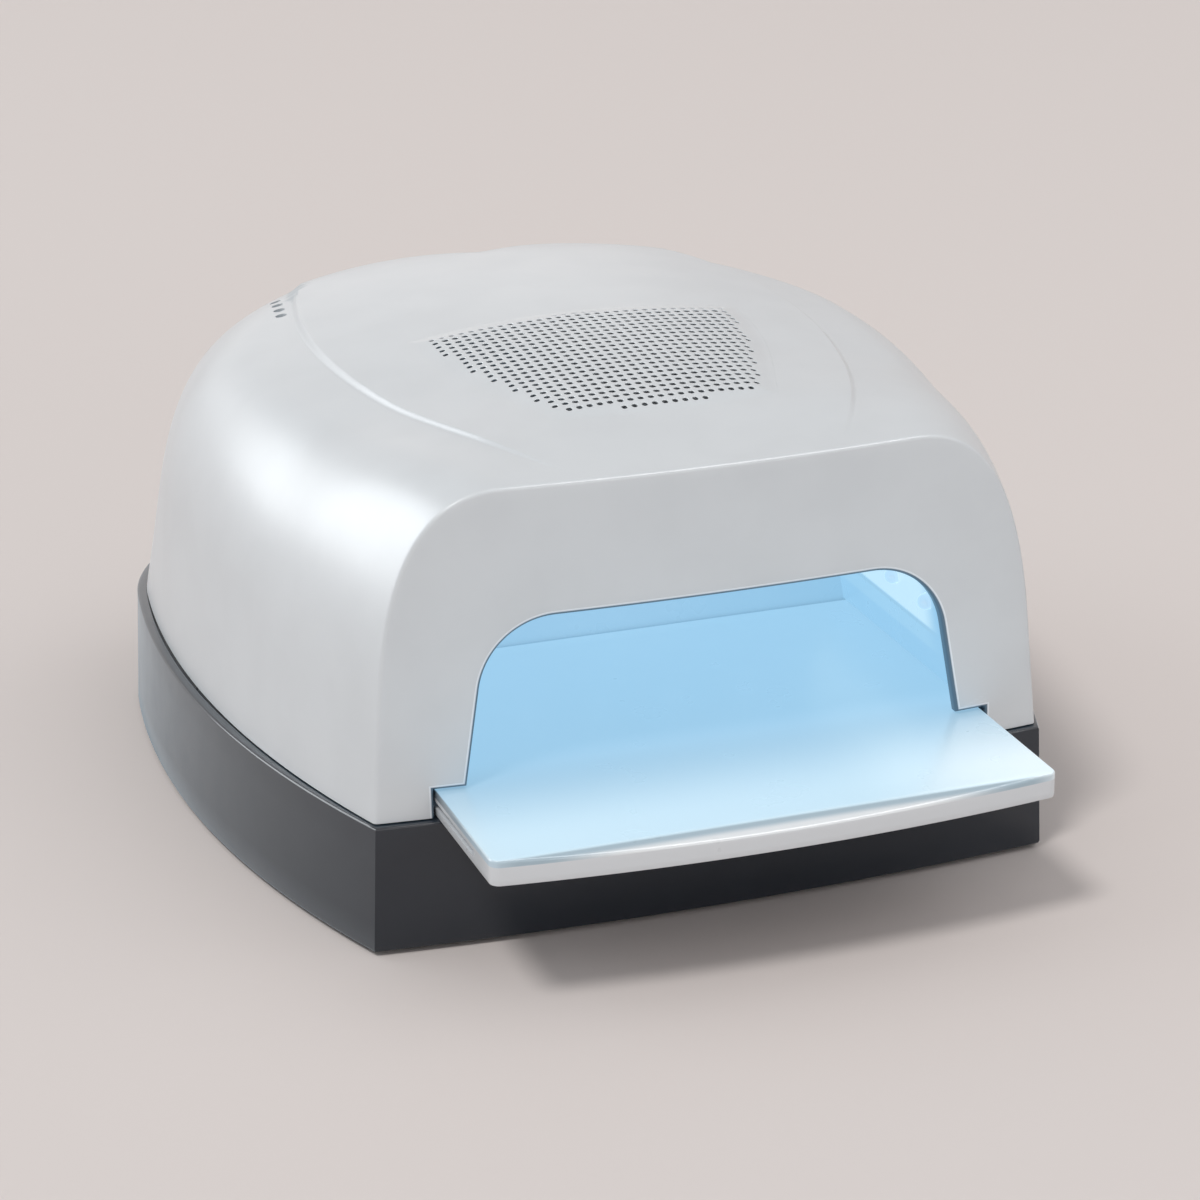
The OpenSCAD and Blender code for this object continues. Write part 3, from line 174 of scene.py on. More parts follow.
def lift_at(x, y):
    """The raised panel stands up over a soft step."""
    rise = PANEL_FRONT_STEP * smooth(PANEL_START, PANEL_FULL, y)
    rise = rise + (PANEL_STEP - PANEL_FRONT_STEP) * smooth(PANEL_RISE, SHELL.y1 - PANEL_TALL, y)
    rise = rise * (1 - smooth(SHELL.y1 - PANEL_FADE, SHELL.y1 - PANEL_END, y))
    return rise * smooth(-PANEL_SOFT, PANEL_SOFT, panel_edge(y) - np.abs(x))


def vent_first(x):
    return VENT_Y0 + VENT_FRONT_BOW * (x / VENT_X0) ** 2


def vent_last(x):
    return VENT_Y1 - VENT_REAR_BOW * (x / VENT_X1) ** 2


def vent_half(y):
    t = (y - VENT_Y0) / (VENT_Y1 - VENT_Y0)
    return mix(VENT_X0, VENT_X1, np.sin(np.pi / 2 * np.clip(t, 0, 1)))


def vent_outline(grow, steps=14):
    """The grille's closed outline in plan, grow millimetres outside the holes' field."""
    w = grow + VENT_R
    s = np.arange(steps + 1) / steps
    x = VENT_X0 * s
    a = np.stack([x + w * s, vent_first(x) - w], 1)
    y = mix(vent_first(VENT_X0), vent_last(VENT_X1), s[1:])
    b = np.stack([vent_half(y) + w, y], 1)
    x = VENT_X1 * s[::-1]
    c = np.stack([x + w * s[::-1], vent_last(x) + w], 1)
    right = np.concatenate([a, b, c])
    return np.concatenate([right, (right * [-1, 1])[-2:0:-1]])


VENT_EDGE = vent_outline(VENT_BORDER)


def inside_vent(x, y):
    """Distance inward from the grille's outline, zero outside it."""
    p = np.stack([np.ravel(x), np.ravel(y)], 1).astype(float)
    out = np.zeros(len(p))
    near = ((p > VENT_EDGE.min(0)) & (p < VENT_EDGE.max(0))).all(1)
    q = p[near]
    if len(q):
        a = VENT_EDGE
        b = np.roll(a, -1, 0)
        ab = b - a
        best = np.full(len(q), 1e9)
        odd = np.zeros(len(q), bool)
        for i in range(len(a)):
            ap = q - a[i]
            t = np.clip(ap @ ab[i] / (ab[i] @ ab[i]), 0, 1)
            best = np.minimum(best, np.hypot(*(ap - t[:, None] * ab[i]).T))
            cross = (a[i, 1] > q[:, 1]) != (b[i, 1] > q[:, 1])
            at = a[i, 0] + (q[:, 1] - a[i, 1]) * ab[i, 0] / (ab[i, 1] if ab[i, 1] else 1e-9)
            odd ^= cross & (q[:, 0] < at)
        out[near] = np.where(odd, best, 0)
    return out.reshape(np.shape(x))


def top_at(x, y):
    """The top's height, with the panel and the grille's pillow."""
    d = inside_vent(x, y)
    pillow = PILLOW * smooth(*PILLOW_RISE, d) + PILLOW_MIDDLE * smooth(*PILLOW_MIDDLE_RISE, d)
    return bare_top(x, y) + lift_at(x, y) + pillow


# columns of a rib: wall, shoulder, skirt up to the panel's step, the step and the top
N_WALL, N_SHOULDER, N_SKIRT, N_STEP, N_TOP = 10, 30, 9, 12, 30
STEP_REACH, STEP_GAP, SKIRT_LEAST = 1.3, 1.6, 2.5
STEP_D = np.linspace(-STEP_REACH, STEP_REACH, N_STEP)
HALF_COLS = N_WALL + N_SHOULDER + 1 + N_SKIRT + N_STEP + N_TOP
FRONT_RUN = 15.0  # the ribs start so far in front of the foot's corners, and the face cuts them
RUN = SHELL.length(-FRONT_RUN)
FULL = FRONT_H - SHELL_Z  # the rib's height in front, of which a rib's heights are shares


def shoulder(w, h, draft, s):
    """The shoulder's curve, s from the wall's end to the top: how far in and how high it lies there."""
    knee = FULL - h
    d0 = draft * knee
    b = [(1 - s) ** 3, 3 * (1 - s) ** 2 * s, 3 * (1 - s) * s * s, s**3]
    px = [d0, d0 + draft * h * PULL_OUT, d0 + (w - d0) * PULL_IN, w]
    pz = [knee, knee + h * PULL_UP, FULL, FULL]
    return (sum(a * q for a, q in zip(b, p)) for p in (px, pz))


def dome(run, col):
    """The dome's surface, run millimetres along the foot, at column col of the rib that starts there."""
    fx, fy = SHELL.at(run, -FRONT_RUN)
    k = SHELL.y1 / RIDGE_Y
    ry = np.where(fy <= 0, fy, RIDGE_Y * (1 - (1 - np.clip(fy / SHELL.y1, 0, 1)) ** k))
    reach = np.hypot(fx, ry - fy)
    dx, dy = -fx / reach, (ry - fy) / reach
    back, tail = smooth(0, SIDE_SHOULDER_Y, fy), smooth(SHELL.y1 - REAR_SHOULDER_RUN, SHELL.y1, fy)
    w, h = (mix(mix(a, b, back), c, tail) for a, b, c in (SHOULDER_W, SHOULDER_H))
    draft = mix(*DRAFT, tail)
    knee = FULL - h
    lo, hi = w.copy(), reach - 1
    for _ in range(26):
        m = (lo + hi) / 2
        out = np.abs(fx + dx * m) > panel_edge(fy + dy * m)
        lo, hi = np.where(out, m, lo), np.where(out, hi, m)
    e = np.maximum(w + SKIRT_LEAST, lo)
    c = col.astype(float)
    wall = c < N_WALL
    s = np.clip((c - N_WALL) / N_SHOULDER, 0, 1)
    inward, high = shoulder(w, h, draft, s)
    d = np.where(wall, draft * knee * c / N_WALL, inward)
    up = np.where(wall, knee * c / N_WALL, high) / FULL
    c2 = c - N_WALL - N_SHOULDER
    skirt = mix(w, e - STEP_GAP, np.clip(c2 / (N_SKIRT + 1), 0, 1))
    c3 = c2 - N_SKIRT - 1
    step = e + STEP_D[np.clip(c3, 0, N_STEP - 1).astype(int)]
    c4 = (c3 - N_STEP + 1) / N_TOP
    flat = mix(e + STEP_REACH, reach, np.clip(c4, 0, 1))
    on_top = c2 > 0
    d = np.where(on_top, np.where(c3 < 0, skirt, np.where(c4 <= 0, step, flat)), d)
    x, y = fx + dx * d, fy + dy * d
    z = SHELL_Z + np.where(on_top, 1, up) * (top_at(x, y) - SHELL_Z)
    return x, y, z


FACE_R = (SHELL.front**2 + FRONT_BOW**2) / (2 * FRONT_BOW)


def behind_face(x, y, z):
    """How far a point lies behind the bowed, leaning front face."""
    v, w = y - (SHELL.y0 - FRONT_BOW), z - SHELL_Z
    return v * math.cos(FACE_LEAN) - w * math.sin(FACE_LEAN) - (FACE_R - np.sqrt(FACE_R**2 - x * x))


def face_y(x, z):
    """The front face's y at a given x and z."""
    w = z - SHELL_Z
    bow = FACE_R - np.sqrt(FACE_R**2 - x * x)
    return SHELL.y0 - FRONT_BOW + (bow + w * math.sin(FACE_LEAN)) / math.cos(FACE_LEAN)


TRAY_TOP = TRAY_Z + TRAY_T
# the centre of the opening's upper corner
ARCH_X = OPEN_HALF - (OPEN_R - (TRAY_TOP - OPEN_TOP + OPEN_R) * math.sin(OPEN_LEAN)) / math.cos(OPEN_LEAN)
ARCH_Z = OPEN_TOP - OPEN_R


def arch_side(z, grow):
    """Half of the opening's width at a height."""
    return ARCH_X + (OPEN_R + grow - (z - ARCH_Z) * math.sin(OPEN_LEAN)) / math.cos(OPEN_LEAN)


def arch(grow, z_low, steps):
    """Right half of the opening's outline in X and Z, from its foot up to the middle's edge."""
    a = np.linspace(OPEN_LEAN, math.pi / 2, steps + 1)
    r = OPEN_R + grow
    arc = np.stack([ARCH_X + r * np.cos(a), ARCH_Z + r * np.sin(a)], 1)
    return np.concatenate([[[arch_side(z_low, grow), z_low]], arc])


# Making meshes
def grid_faces(first, cols, rows):
    """Quads over a grid of points that starts at number first."""
    w = cols + 1
    corners = [first + v * w + u for v in range(rows) for u in range(cols)]
    return [(a, a + 1, a + w + 1, a + w) for a in corners]


def new_object(name, verts, faces):
    """A mesh object from points in millimetres, placed in the row frame."""
    v = np.asarray(verts, float).copy()
    v[:, 1] -= CENTRE_Y
    mesh = bpy.data.meshes.new(name)
    mesh.from_pydata((v / 1000).tolist(), [], [list(map(int, f)) for f in faces])
    mesh.update()
    obj = bpy.data.objects.new(name, mesh)
    bpy.context.scene.collection.objects.link(obj)
    return obj


def shade(obj, angle):
    """Smooth shading with sharp edges above an angle in degrees."""
    mesh = obj.data
    mesh.shade_smooth()
    mesh.set_sharp_from_angle(angle=math.radians(angle))


def modify(obj, kind, **settings):
    m = obj.modifiers.new(kind.lower(), kind)
    for key, value in settings.items():
        setattr(m, key, value)
    return m


def settle(obj):
    """Applies the object's modifiers to its mesh."""
    bpy.context.view_layer.update()
    done = bpy.data.meshes.new_from_object(obj.evaluated_get(bpy.context.evaluated_depsgraph_get()))
    obj.modifiers.clear()
    old, obj.data = obj.data, done
    name = old.name
    bpy.data.meshes.remove(old)
    obj.data.name = name
    return obj


def cut(obj, tool, operation="DIFFERENCE"):
    """Cuts the tool out of the object, or cuts the object down to it, and deletes the tool."""
    modify(obj, "BOOLEAN", operation=operation, object=tool, solver="EXACT")
    settle(obj)
    bpy.data.objects.remove(tool)
    return obj


def join(name, *objs):
    bm = bmesh.new()
    for o in objs:
        bm.from_mesh(o.data)
        bpy.data.objects.remove(o)
    mesh = bpy.data.meshes.new(name)
    bm.to_mesh(mesh)
    bm.free()
    obj = bpy.data.objects.new(name, mesh)
    bpy.context.scene.collection.objects.link(obj)
    return obj


def fix_normals(obj, weld=1e-6, upward=False):
    """Welds the mesh and turns its faces outward, or those of an open surface upward."""
    bm = bmesh.new()
    bm.from_mesh(obj.data)
    bmesh.ops.remove_doubles(bm, verts=bm.verts, dist=weld)
    if upward:
        bmesh.ops.dissolve_degenerate(bm, edges=bm.edges, dist=1e-6)
    bmesh.ops.recalc_face_normals(bm, faces=bm.faces)
    if upward and max(bm.faces, key=lambda f: f.calc_center_median().z).normal.z < 0:
        bmesh.ops.reverse_faces(bm, faces=bm.faces)
    bm.to_mesh(obj.data)
    bm.free()
    return obj


def prism(name, points, z0, z1):
    """A closed prism over an outline in plan."""
    p = np.asarray(points, float)
    n = len(p)
    v = np.concatenate([np.c_[p, np.full(n, z)] for z in (z0, z1)])
    f = [[i, (i + 1) % n, n + (i + 1) % n, n + i] for i in range(n)]
    return fix_normals(new_object(name, v, f + [list(range(n))[::-1], list(range(n, 2 * n))]))


def rod(name, x, y, r, z0, z1, n=32):
    a = np.arange(n) * 2 * math.pi / n
    return prism(name, np.stack([x + r * np.cos(a), y + r * np.sin(a)], 1), z0, z1)


def block(name, x, y, z):
    return prism(name, [(x[0], y[0]), (x[1], y[0]), (x[1], y[1]), (x[0], y[1])], z[0], z[1])


# Procedural materials
GRAIN = 0.0002  # the height of every surface's grain, in metres


def lin(r, g, b):
    """A colour as written in 0-255 to the renderer's linear values."""
    out = []
    for c in (r, g, b):
        c /= 255.0
        out.append(c / 12.92 if c <= 0.04045 else ((c + 0.055) / 1.055) ** 2.4)
    return (*out, 1.0)


class Shader:
    """A small helper that builds one material's node tree."""

    def __init__(self, name, colour, rough, metal=0.0, coat=0.0, coat_rough=0.1):
        self.mat = bpy.data.materials.new(name)
        self.mat.use_nodes = True
        self.tree = self.mat.node_tree
        self.bsdf = self.tree.nodes["Principled BSDF"]
        self.set(self.bsdf, "Base Color", lin(*colour))
        self.set(self.bsdf, "Roughness", rough)
        self.set(self.bsdf, "Metallic", metal)
        self.set(self.bsdf, "Coat Weight", coat)
        self.set(self.bsdf, "Coat Roughness", coat_rough)
        self.base = self.bsdf.inputs["Base Color"]
        self.coords = None

    def node(self, kind, **settings):
        n = self.tree.nodes.new(kind)
        for key, value in settings.items():
            setattr(n, key, value)
        return n

    def set(self, node, socket, value):
        node.inputs[socket].default_value = value

    def link(self, a, b):
        self.tree.links.new(a, b)

    def position(self):
        if self.coords is None:
            self.coords = self.node("ShaderNodeTexCoord")
        return self.coords.outputs["Object"]

    def noise(self, scale, detail=2.0):
        n = self.node("ShaderNodeTexNoise")
        self.set(n, "Scale", scale)
        self.set(n, "Detail", detail)
        self.link(self.position(), n.inputs["Vector"])
        return n.outputs["Fac"]

    def ramp(self, fac, low, high, a=0.3, b=0.7):
        """Goes evenly from low at a to high at b."""
        r = self.node("ShaderNodeMapRange")
        self.set(r, "From Min", a)
        self.set(r, "From Max", b)
        self.set(r, "To Min", low)
        self.set(r, "To Max", high)
        self.link(fac, r.inputs["Value"])
        return r.outputs["Result"]

    def axes(self, world=False):
        """Places in millimetres as in the CAD source, on the piece itself or in the room."""
        sep = self.node("ShaderNodeSeparateXYZ")
        place = self.node("ShaderNodeNewGeometry").outputs["Position"] if world else self.position()
        self.link(place, sep.inputs[0])
        x, y, z = (self.math("MULTIPLY", sep.outputs[k], 1000.0) for k in range(3))
        return x, self.math("ADD", y, CENTRE_Y), z

    def math(self, operation, a, b=0.0):
        m = self.node("ShaderNodeMath", operation=operation)
        for k, v in enumerate((a, b)):
            if isinstance(v, (int, float)):
                m.inputs[k].default_value = v
            else:
                self.link(v, m.inputs[k])
        return m.outputs[0]

    def step(self, value, a, b):
        """Nought at a and below it, one at b, with soft ends."""
        r = self.node("ShaderNodeMapRange", interpolation_type="SMOOTHSTEP")
        self.set(r, "From Min", a)
        self.set(r, "From Max", b)
        self.link(value, r.inputs["Value"])
        return r.outputs["Result"]

    def blend(self, fac, a, b):
        m = self.node("ShaderNodeMix", data_type="RGBA")
        self.link(fac, m.inputs[0])
        for k, v in ((6, a), (7, b)):
            if isinstance(v, tuple):
                m.inputs[k].default_value = v
            else:
                self.link(v, m.inputs[k])
        return m.outputs[2]

    def rough(self, scale, low, high):
        self.link(self.ramp(self.noise(scale, 3.0), low, high), self.bsdf.inputs["Roughness"])
        return self

    def tint(self, scale, colour, a=0.35, b=0.75, detail=3.0):
        """Blotches of a second colour over the base colour."""
        first = self.base.default_value[:]
        out = self.blend(self.ramp(self.noise(scale, detail), 0.0, 1.0, a, b), tuple(first), lin(*colour))
        self.link(out, self.base)
        return self

    def bump(self, scale, strength):
        b = self.node("ShaderNodeBump")
        self.set(b, "Strength", strength)
        self.set(b, "Distance", GRAIN)
        self.link(self.noise(scale), b.inputs["Height"])
        self.link(b.outputs[0], self.bsdf.inputs["Normal"])
        return self


# how far the lip's painted colours may reach above the opening, beside the tray and behind the lip,
# and how far behind the face the painted highlight on the edge and the painted shade on the lip begin, in
# millimetres
LIP_ABOVE, LIP_BESIDE, LIP_BEHIND, LIP_PAINTED_HIGHLIGHT, LIP_SHADE = 6, 4, 2, (0.001, 0.006), (0.05, 0.11)


def shell_shader():
    """Pearl plastic, with a painted highlight along the opening's edge and painted shade where its lip turns
    in.
    """
    s = Shader("pearl shell", (206, 211, 215), 0.38, coat=0.6, coat_rough=0.3)
    s.tint(45, (203, 208, 212), 0.4, 0.65).rough(70, 0.37, 0.43).bump(400, 0.006)
    x, y, z = s.axes()
    lean, flat = math.tan(FACE_LEAN), 1 / math.cos(FACE_LEAN)
    chord = s.math("SQRT", s.math("SUBTRACT", FACE_R**2, s.math("MULTIPLY", x, x)))
    behind = s.math("SUBTRACT", y, s.math("MULTIPLY", z, lean))
    behind = s.math("ADD", behind, s.math("MULTIPLY", chord, flat))
    behind = s.math("SUBTRACT", behind, SHELL.y0 - FRONT_BOW - SHELL_Z * lean + FACE_R * flat)
    near = s.math("LESS_THAN", z, OPEN_TOP + LIP_ABOVE)
    near = s.math("MULTIPLY", near, s.math("LESS_THAN", s.math("ABSOLUTE", x), TRAY_HALF + LIP_BESIDE))
    near = s.math("MULTIPLY", near, s.math("LESS_THAN", behind, LIP_BACK + LIP_BEHIND))
    plain = s.base.links[0].from_socket
    # painted highlight: a lighter rim just behind the face's edge round the opening
    edge = s.blend(s.math("MULTIPLY", near, s.step(behind, *LIP_PAINTED_HIGHLIGHT)), plain, lin(228, 234, 240))
    # painted shade: a dark band where the lip turns in toward the chamber
    s.link(s.blend(s.math("MULTIPLY", near, s.step(behind, *LIP_SHADE)), edge, lin(84, 108, 126)), s.base)
    return s


# from where to where the tray's colours change, in millimetres: the painted glow and the painted darker
# colour inside, both fading toward the front, the painted light on the right end, the painted shade at the
# crease, the painted highlight on the slope in front of it, the flat top and its edge
TRAY_LIGHT, TRAY_PAINTED_SHADE, TRAY_PAINTED_LIGHT_RIGHT = (18, -38), (8, -38), (20, 75)
TRAY_CREASE_PAINTED_SHADE, TRAY_SLOPE_PAINTED_HIGHLIGHT = (-46.5, -48.0), (-48.5, -51.0)
TRAY_FLAT, TRAY_UPPER = (TRAY_TOP - 0.3, TRAY_TOP - 0.05), (TRAY_TOP - 2.2, TRAY_TOP - 1.9)


def tray_shader():
    """White gloss with painted light: its flat top glows with the chamber's blue light, which fades out
    toward the front.
    """
    s = Shader("tray", (208, 212, 216), 0.3, coat=0.4, coat_rough=0.22)
    x, y = s.axes(world=True)[:2]
    own_y, own_z = s.axes()[1:]
    flat = s.step(own_z, *TRAY_FLAT)
    out = s.step(y, *TRAY_LIGHT)
    # painted light: the top's right end is lighter
    front = s.blend(s.step(x, *TRAY_PAINTED_LIGHT_RIGHT), lin(186, 206, 218), lin(222, 234, 240))
    # painted shade: the top's colour is darker inside the chamber, under its painted glow
    top = s.blend(s.step(y, *TRAY_PAINTED_SHADE), lin(108, 116, 122), front)
    # the front that slopes down from the top's crease, with painted shade along the crease and a painted
    # highlight on the slope
    bevel = s.blend(s.step(own_y, *TRAY_CREASE_PAINTED_SHADE), top, lin(162, 182, 194))
    bevel = s.blend(s.step(own_y, *TRAY_SLOPE_PAINTED_HIGHLIGHT), bevel, lin(222, 226, 229))
    s.link(s.blend(s.step(own_z, *TRAY_UPPER), s.base.default_value[:], bevel), s.base)
    # painted glow: the chamber's blue light on the top, fading out toward the front
    light = s.blend(out, (0.26, 0.46, 0.62, 1), (0.165, 0.225, 0.25, 1))
    s.link(s.blend(flat, (0, 0, 0, 1), light), s.bsdf.inputs["Emission Color"])
    s.set(s.bsdf, "Emission Strength", 1.0)
    return s.rough(60, 0.27, 0.33).bump(400, 0.008)


# the reflector's side walls, in millimetres: their inner face, where they begin behind the face, their lower
# edge, the painted highlight band at the top, and the painted dark line below it with its start and its end
SIDE_FACE, SIDE_BEGIN, SIDE_LOWER, SIDE_PAINTED_HIGHLIGHT = (72, 75), (22, 34), (53.2, 54.6), (60.2, 61.4)
SHADE_LINE_START, SHADE_LINE_END = (58.9, 59.6), (60.2, 60.8)


def reflector_shader():
    """Bright sheet with a painted glow as if lit by the lamps, most on the side walls above their lower edge,
    with a painted highlight band and a painted dark line.
    """
    s = Shader("reflector", (150, 156, 160), 0.28)
    s.tint(30, (146, 152, 157)).rough(60, 0.26, 0.32).bump(500, 0.01)
    x, y, z = s.axes()
    side = s.math("MULTIPLY", s.step(s.math("ABSOLUTE", x), *SIDE_FACE), s.step(y, *SIDE_BEGIN))
    lower = s.math("MULTIPLY", side, s.step(z, *SIDE_LOWER))
    # painted highlight: a brighter band of glow near the side walls' top
    highlight_band = s.math("MULTIPLY", side, s.step(z, *SIDE_PAINTED_HIGHLIGHT))
    # painted shade: a thin dark line below the bright band
    shade_line = s.math("MULTIPLY", side, s.math("SUBTRACT", s.step(z, *SHADE_LINE_START), s.step(z, *SHADE_LINE_END)))
    light = s.blend(lower, (0.185, 0.365, 0.52, 1), (0.22, 0.4, 0.54, 1))
    light = s.blend(highlight_band, light, (0.42, 0.58, 0.66, 1))
    light = s.blend(shade_line, light, (0.2, 0.36, 0.48, 1))
    ceiling = OPEN_TOP + REFLECTOR_SET
    outer = s.step(z, ceiling + REFLECTOR_T / 2, ceiling + REFLECTOR_T)
    s.link(s.blend(outer, light, (0, 0, 0, 1)), s.bsdf.inputs["Emission Color"])
    s.set(s.bsdf, "Emission Strength", 1.0)
    return s


def base_shader():
    """Dark satin plastic with a faint cool sheen."""
    s = Shader("dark base", (34, 39, 47), 0.35, coat=1.0, coat_rough=0.14)
    s.set(s.bsdf, "Specular IOR Level", 0.15)
    s.set(s.bsdf, "Coat IOR", 1.45)
    s.set(s.bsdf, "Sheen Weight", 0.3)
    s.set(s.bsdf, "Sheen Roughness", 0.35)
    s.set(s.bsdf, "Sheen Tint", (0.36, 0.74, 1.0, 1))
    return s.tint(60, (31, 36, 44)).rough(80, 0.32, 0.38).bump(400, 0.01)


def gloss(weight, rough):
    return {"coat": weight, "coat_rough": rough}


# slot: name, colour, roughness, coat or metal, blotches (scale, colour and more for tint),
# roughness (scale, least, most), bump (scale, strength)
SURFACES = {
    "base_inner": (
        "base inside", (60, 62, 66), 0.5, {}, (300, (52, 54, 58)), (400, 0.42, 0.58), (1200, 0.25),
    ),
    "foot": ("rubber", (34, 34, 36), 0.75, {}, (700, (26, 26, 28)), (600, 0.68, 0.85), (2200, 0.4)),
    "guide": ("tray guide", (70, 73, 78), 0.45, {}, (500, (60, 62, 67)), (500, 0.38, 0.52), (1400, 0.2)),
    "led_board": (
        "lamp board", (226, 230, 228), 0.4, {},
        (300, (214, 220, 218)), (700, 0.34, 0.46), (1600, 0.15),
    ),
    "led": ("lamp lens", (120, 140, 156), 0.08, gloss(0.6, 0.03), None, (700, 0.05, 0.12), (2000, 0.03)),
    "heat_sink": (
        "cast sink", (172, 174, 178), 0.36, {"metal": 0.9},
        (200, (150, 152, 157)), (800, 0.3, 0.45), (1500, 0.2),
    ),
    "fan": ("fan plastic", (40, 41, 44), 0.45, {}, (500, (32, 33, 36)), (500, 0.38, 0.54), (1500, 0.25)),
    "bezel": (
        "control panel", (38, 40, 45), 0.22, gloss(0.5, 0.06),
        (900, (32, 34, 39)), (600, 0.18, 0.27), (1600, 0.08),
    ),
    "button": (
        "button", (208, 212, 217), 0.32, gloss(0.3, 0.12),
        (1200, (200, 204, 210)), (700, 0.28, 0.37), (1800, 0.08),
    ),
    "button_start": (
        "start button", (118, 178, 226), 0.3, gloss(0.3, 0.12),
        (1200, (108, 170, 220)), (700, 0.26, 0.35), (1800, 0.08),
    ),
    "light_pipe": (
        "light pipe", (206, 238, 250), 0.1, gloss(0.5, 0.04), None, (900, 0.07, 0.14), (2000, 0.03),
    ),
    "circuit_board": (
        "circuit board", (30, 92, 60), 0.36, gloss(0.3, 0.2),
        (260, (22, 78, 50), 0.45, 0.55, 6.0), (500, 0.3, 0.44), (1200, 0.2),
    ),
    "black_part": ("black part", (36, 37, 40), 0.4, {}, (700, (28, 29, 32)), (600, 0.33, 0.48), (1800, 0.2)),
    "brass": (
        "brass", (196, 164, 96), 0.28, {"metal": 1.0}, (400, (180, 148, 84)), (700, 0.22, 0.36), (1500, 0.1),
    ),
    "screw": (
        "screw steel", (178, 180, 184), 0.3, {"metal": 1.0},
        (600, (160, 162, 167)), (900, 0.24, 0.38), (1800, 0.12),
    ),
    "rocker": (
        "rocker", (178, 48, 44), 0.3, gloss(0.3, 0.1), (900, (164, 40, 38)), (700, 0.26, 0.35), (1800, 0.08),
    ),
}


def make_materials():
    m = {}
    m["shell"] = shell_shader()
    m["base"] = base_shader()
    m["tray"] = tray_shader()
    m["reflector"] = reflector_shader()
    for slot, (name, colour, rough, finish, blotches, polish, grain) in SURFACES.items():
        s = Shader(name, colour, rough, **finish)
        if blotches:
            s.tint(*blotches)
        m[slot] = s.rough(*polish).bump(*grain)
    return m


SHADERS = make_materials()


def glow(key, colour, strength):
    s = SHADERS[key]
    s.set(s.bsdf, "Emission Color", lin(*colour))
    s.set(s.bsdf, "Emission Strength", strength)


def dress(obj, key):
    obj.data.materials.clear()
    obj.data.materials.append(SHADERS[key].mat)


# The shell
ROWS = 210


def bezier3(a, b, c, n):
    """Points of a rounded edge from a to c round the sharp edge b, without the first."""
    t = (np.arange(1, n + 1) / n)[:, None, None]
    return (1 - t) ** 2 * a + 2 * t * (1 - t) * b + t * t * c


def inner_edge(grow):
    """The opening's edge with the notch for the tray, one point for every column of the dome."""
    notch_x, notch_z = TRAY_HALF + NOTCH_GAP + grow, TRAY_TOP + NOTCH_GAP + grow
    side = arch(grow, notch_z, N_SHOULDER)
    keys = [(0, (notch_x, SHELL_Z)), (3, (notch_x, notch_z)), (6, tuple(side[0])), (N_WALL, tuple(side[1]))]
    out = np.zeros((HALF_COLS, 2))
    for (i, a), (j, b) in zip(keys, keys[1:]):
        for k in range(i, j + 1):
            out[k] = mix(np.array(a), np.array(b), (k - i) / (j - i))
    out[N_WALL : N_WALL + N_SHOULDER + 1] = side[1:]
    k = N_WALL + N_SHOULDER
    t = np.linspace(0, 1, HALF_COLS - k)
    out[k:, 0] = side[-1][0] * (1 - t)
    out[k:, 1] = side[-1][1]
    return out


def on_face(xz, back=0.0):
    """Points of the front face over places in X and Z, or so far behind it."""
    return np.stack([xz[:, 0], face_y(xz[:, 0], xz[:, 1]) + back, xz[:, 1]], 1)


def shell_surface():
    """The shell's outside as rows of points, from the rear's middle over the face's edge into the opening."""
    col = np.arange(HALF_COLS)
    lo, hi = np.zeros(HALF_COLS), np.full(HALF_COLS, 60.0)
    for _ in range(40):
        m = (lo + hi) / 2
        front = behind_face(*dome(m, col)) < 0
        lo, hi = np.where(front, m, lo), np.where(front, hi, m)
    a0 = (lo + hi) / 2
    edge = np.stack(dome(a0, col), 1)
    rows = [np.stack(dome(mix(a0 + EDGE_R, RUN, t), col), 1) for t in np.linspace(0, 1, ROWS + 1)[::-1]]
    inner, lip = inner_edge(0.0), inner_edge(LIP_R)
    lip[0, 1] = SHELL_Z
    # one step into the face from the sharp edge, toward the opening
    xz = edge[:, [0, 2]]
    way = lip - xz
    way /= np.linalg.norm(way, axis=1)[:, None]
    down = np.gradient(xz, axis=0)
    normal = np.stack([down[:, 1], -down[:, 0]], 1)
    normal /= np.linalg.norm(normal, axis=1)[:, None]
    normal *= np.sign((normal * way).sum(1))[:, None]
    normal[0] = (-1, 0)
    in_face = on_face(xz + normal * EDGE_R)
    in_face[0, 2] = SHELL_Z
    grid = np.array(rows)
    grid = np.concatenate([grid, bezier3(grid[-1], edge, in_face, 5)])
    start = in_face[:, [0, 2]]
    grid = np.concatenate([grid, [on_face(mix(start, lip, t)) for t in np.linspace(0, 1, 15)[1:]]])
    grid = np.concatenate([grid, bezier3(grid[-1], on_face(inner), on_face(inner, LIP_R), 4)])
    return np.concatenate([grid, [on_face(inner, mix(LIP_R, LIP_BACK, t)) for t in (0.5, 1.0)]])


def skin(name, grid):
    """A surface over a grid of points and its mirror image, joined on the centre line."""
    n, m = grid.shape[:2]
    whole = np.concatenate([grid, grid[:, -2::-1] * [-1, 1, 1]], 1)
    return new_object(name, whole.reshape(-1, 3), grid_faces(0, 2 * m - 2, n - 1))


def bezel_place():
    """The control panel's place and tilt, at the middle of the rear shoulder."""
    rear = SHOULDER_W[2], SHOULDER_H[2], DRAFT[1]
    (d0, h0), (d1, h1), (d2, h2) = (shoulder(*rear, s) for s in (0.375, 0.5, 0.625))
    y = SHELL.y1 - d1
    rise = (h2 - h0) / FULL * (bare_top(0, y) - SHELL_Z)
    return y, SHELL_Z + h1 / FULL * (float(top_at(0, y)) - SHELL_Z), math.atan2(rise, d2 - d0)


BEZEL_Y, BEZEL_Z, BEZEL_TILT = bezel_place()


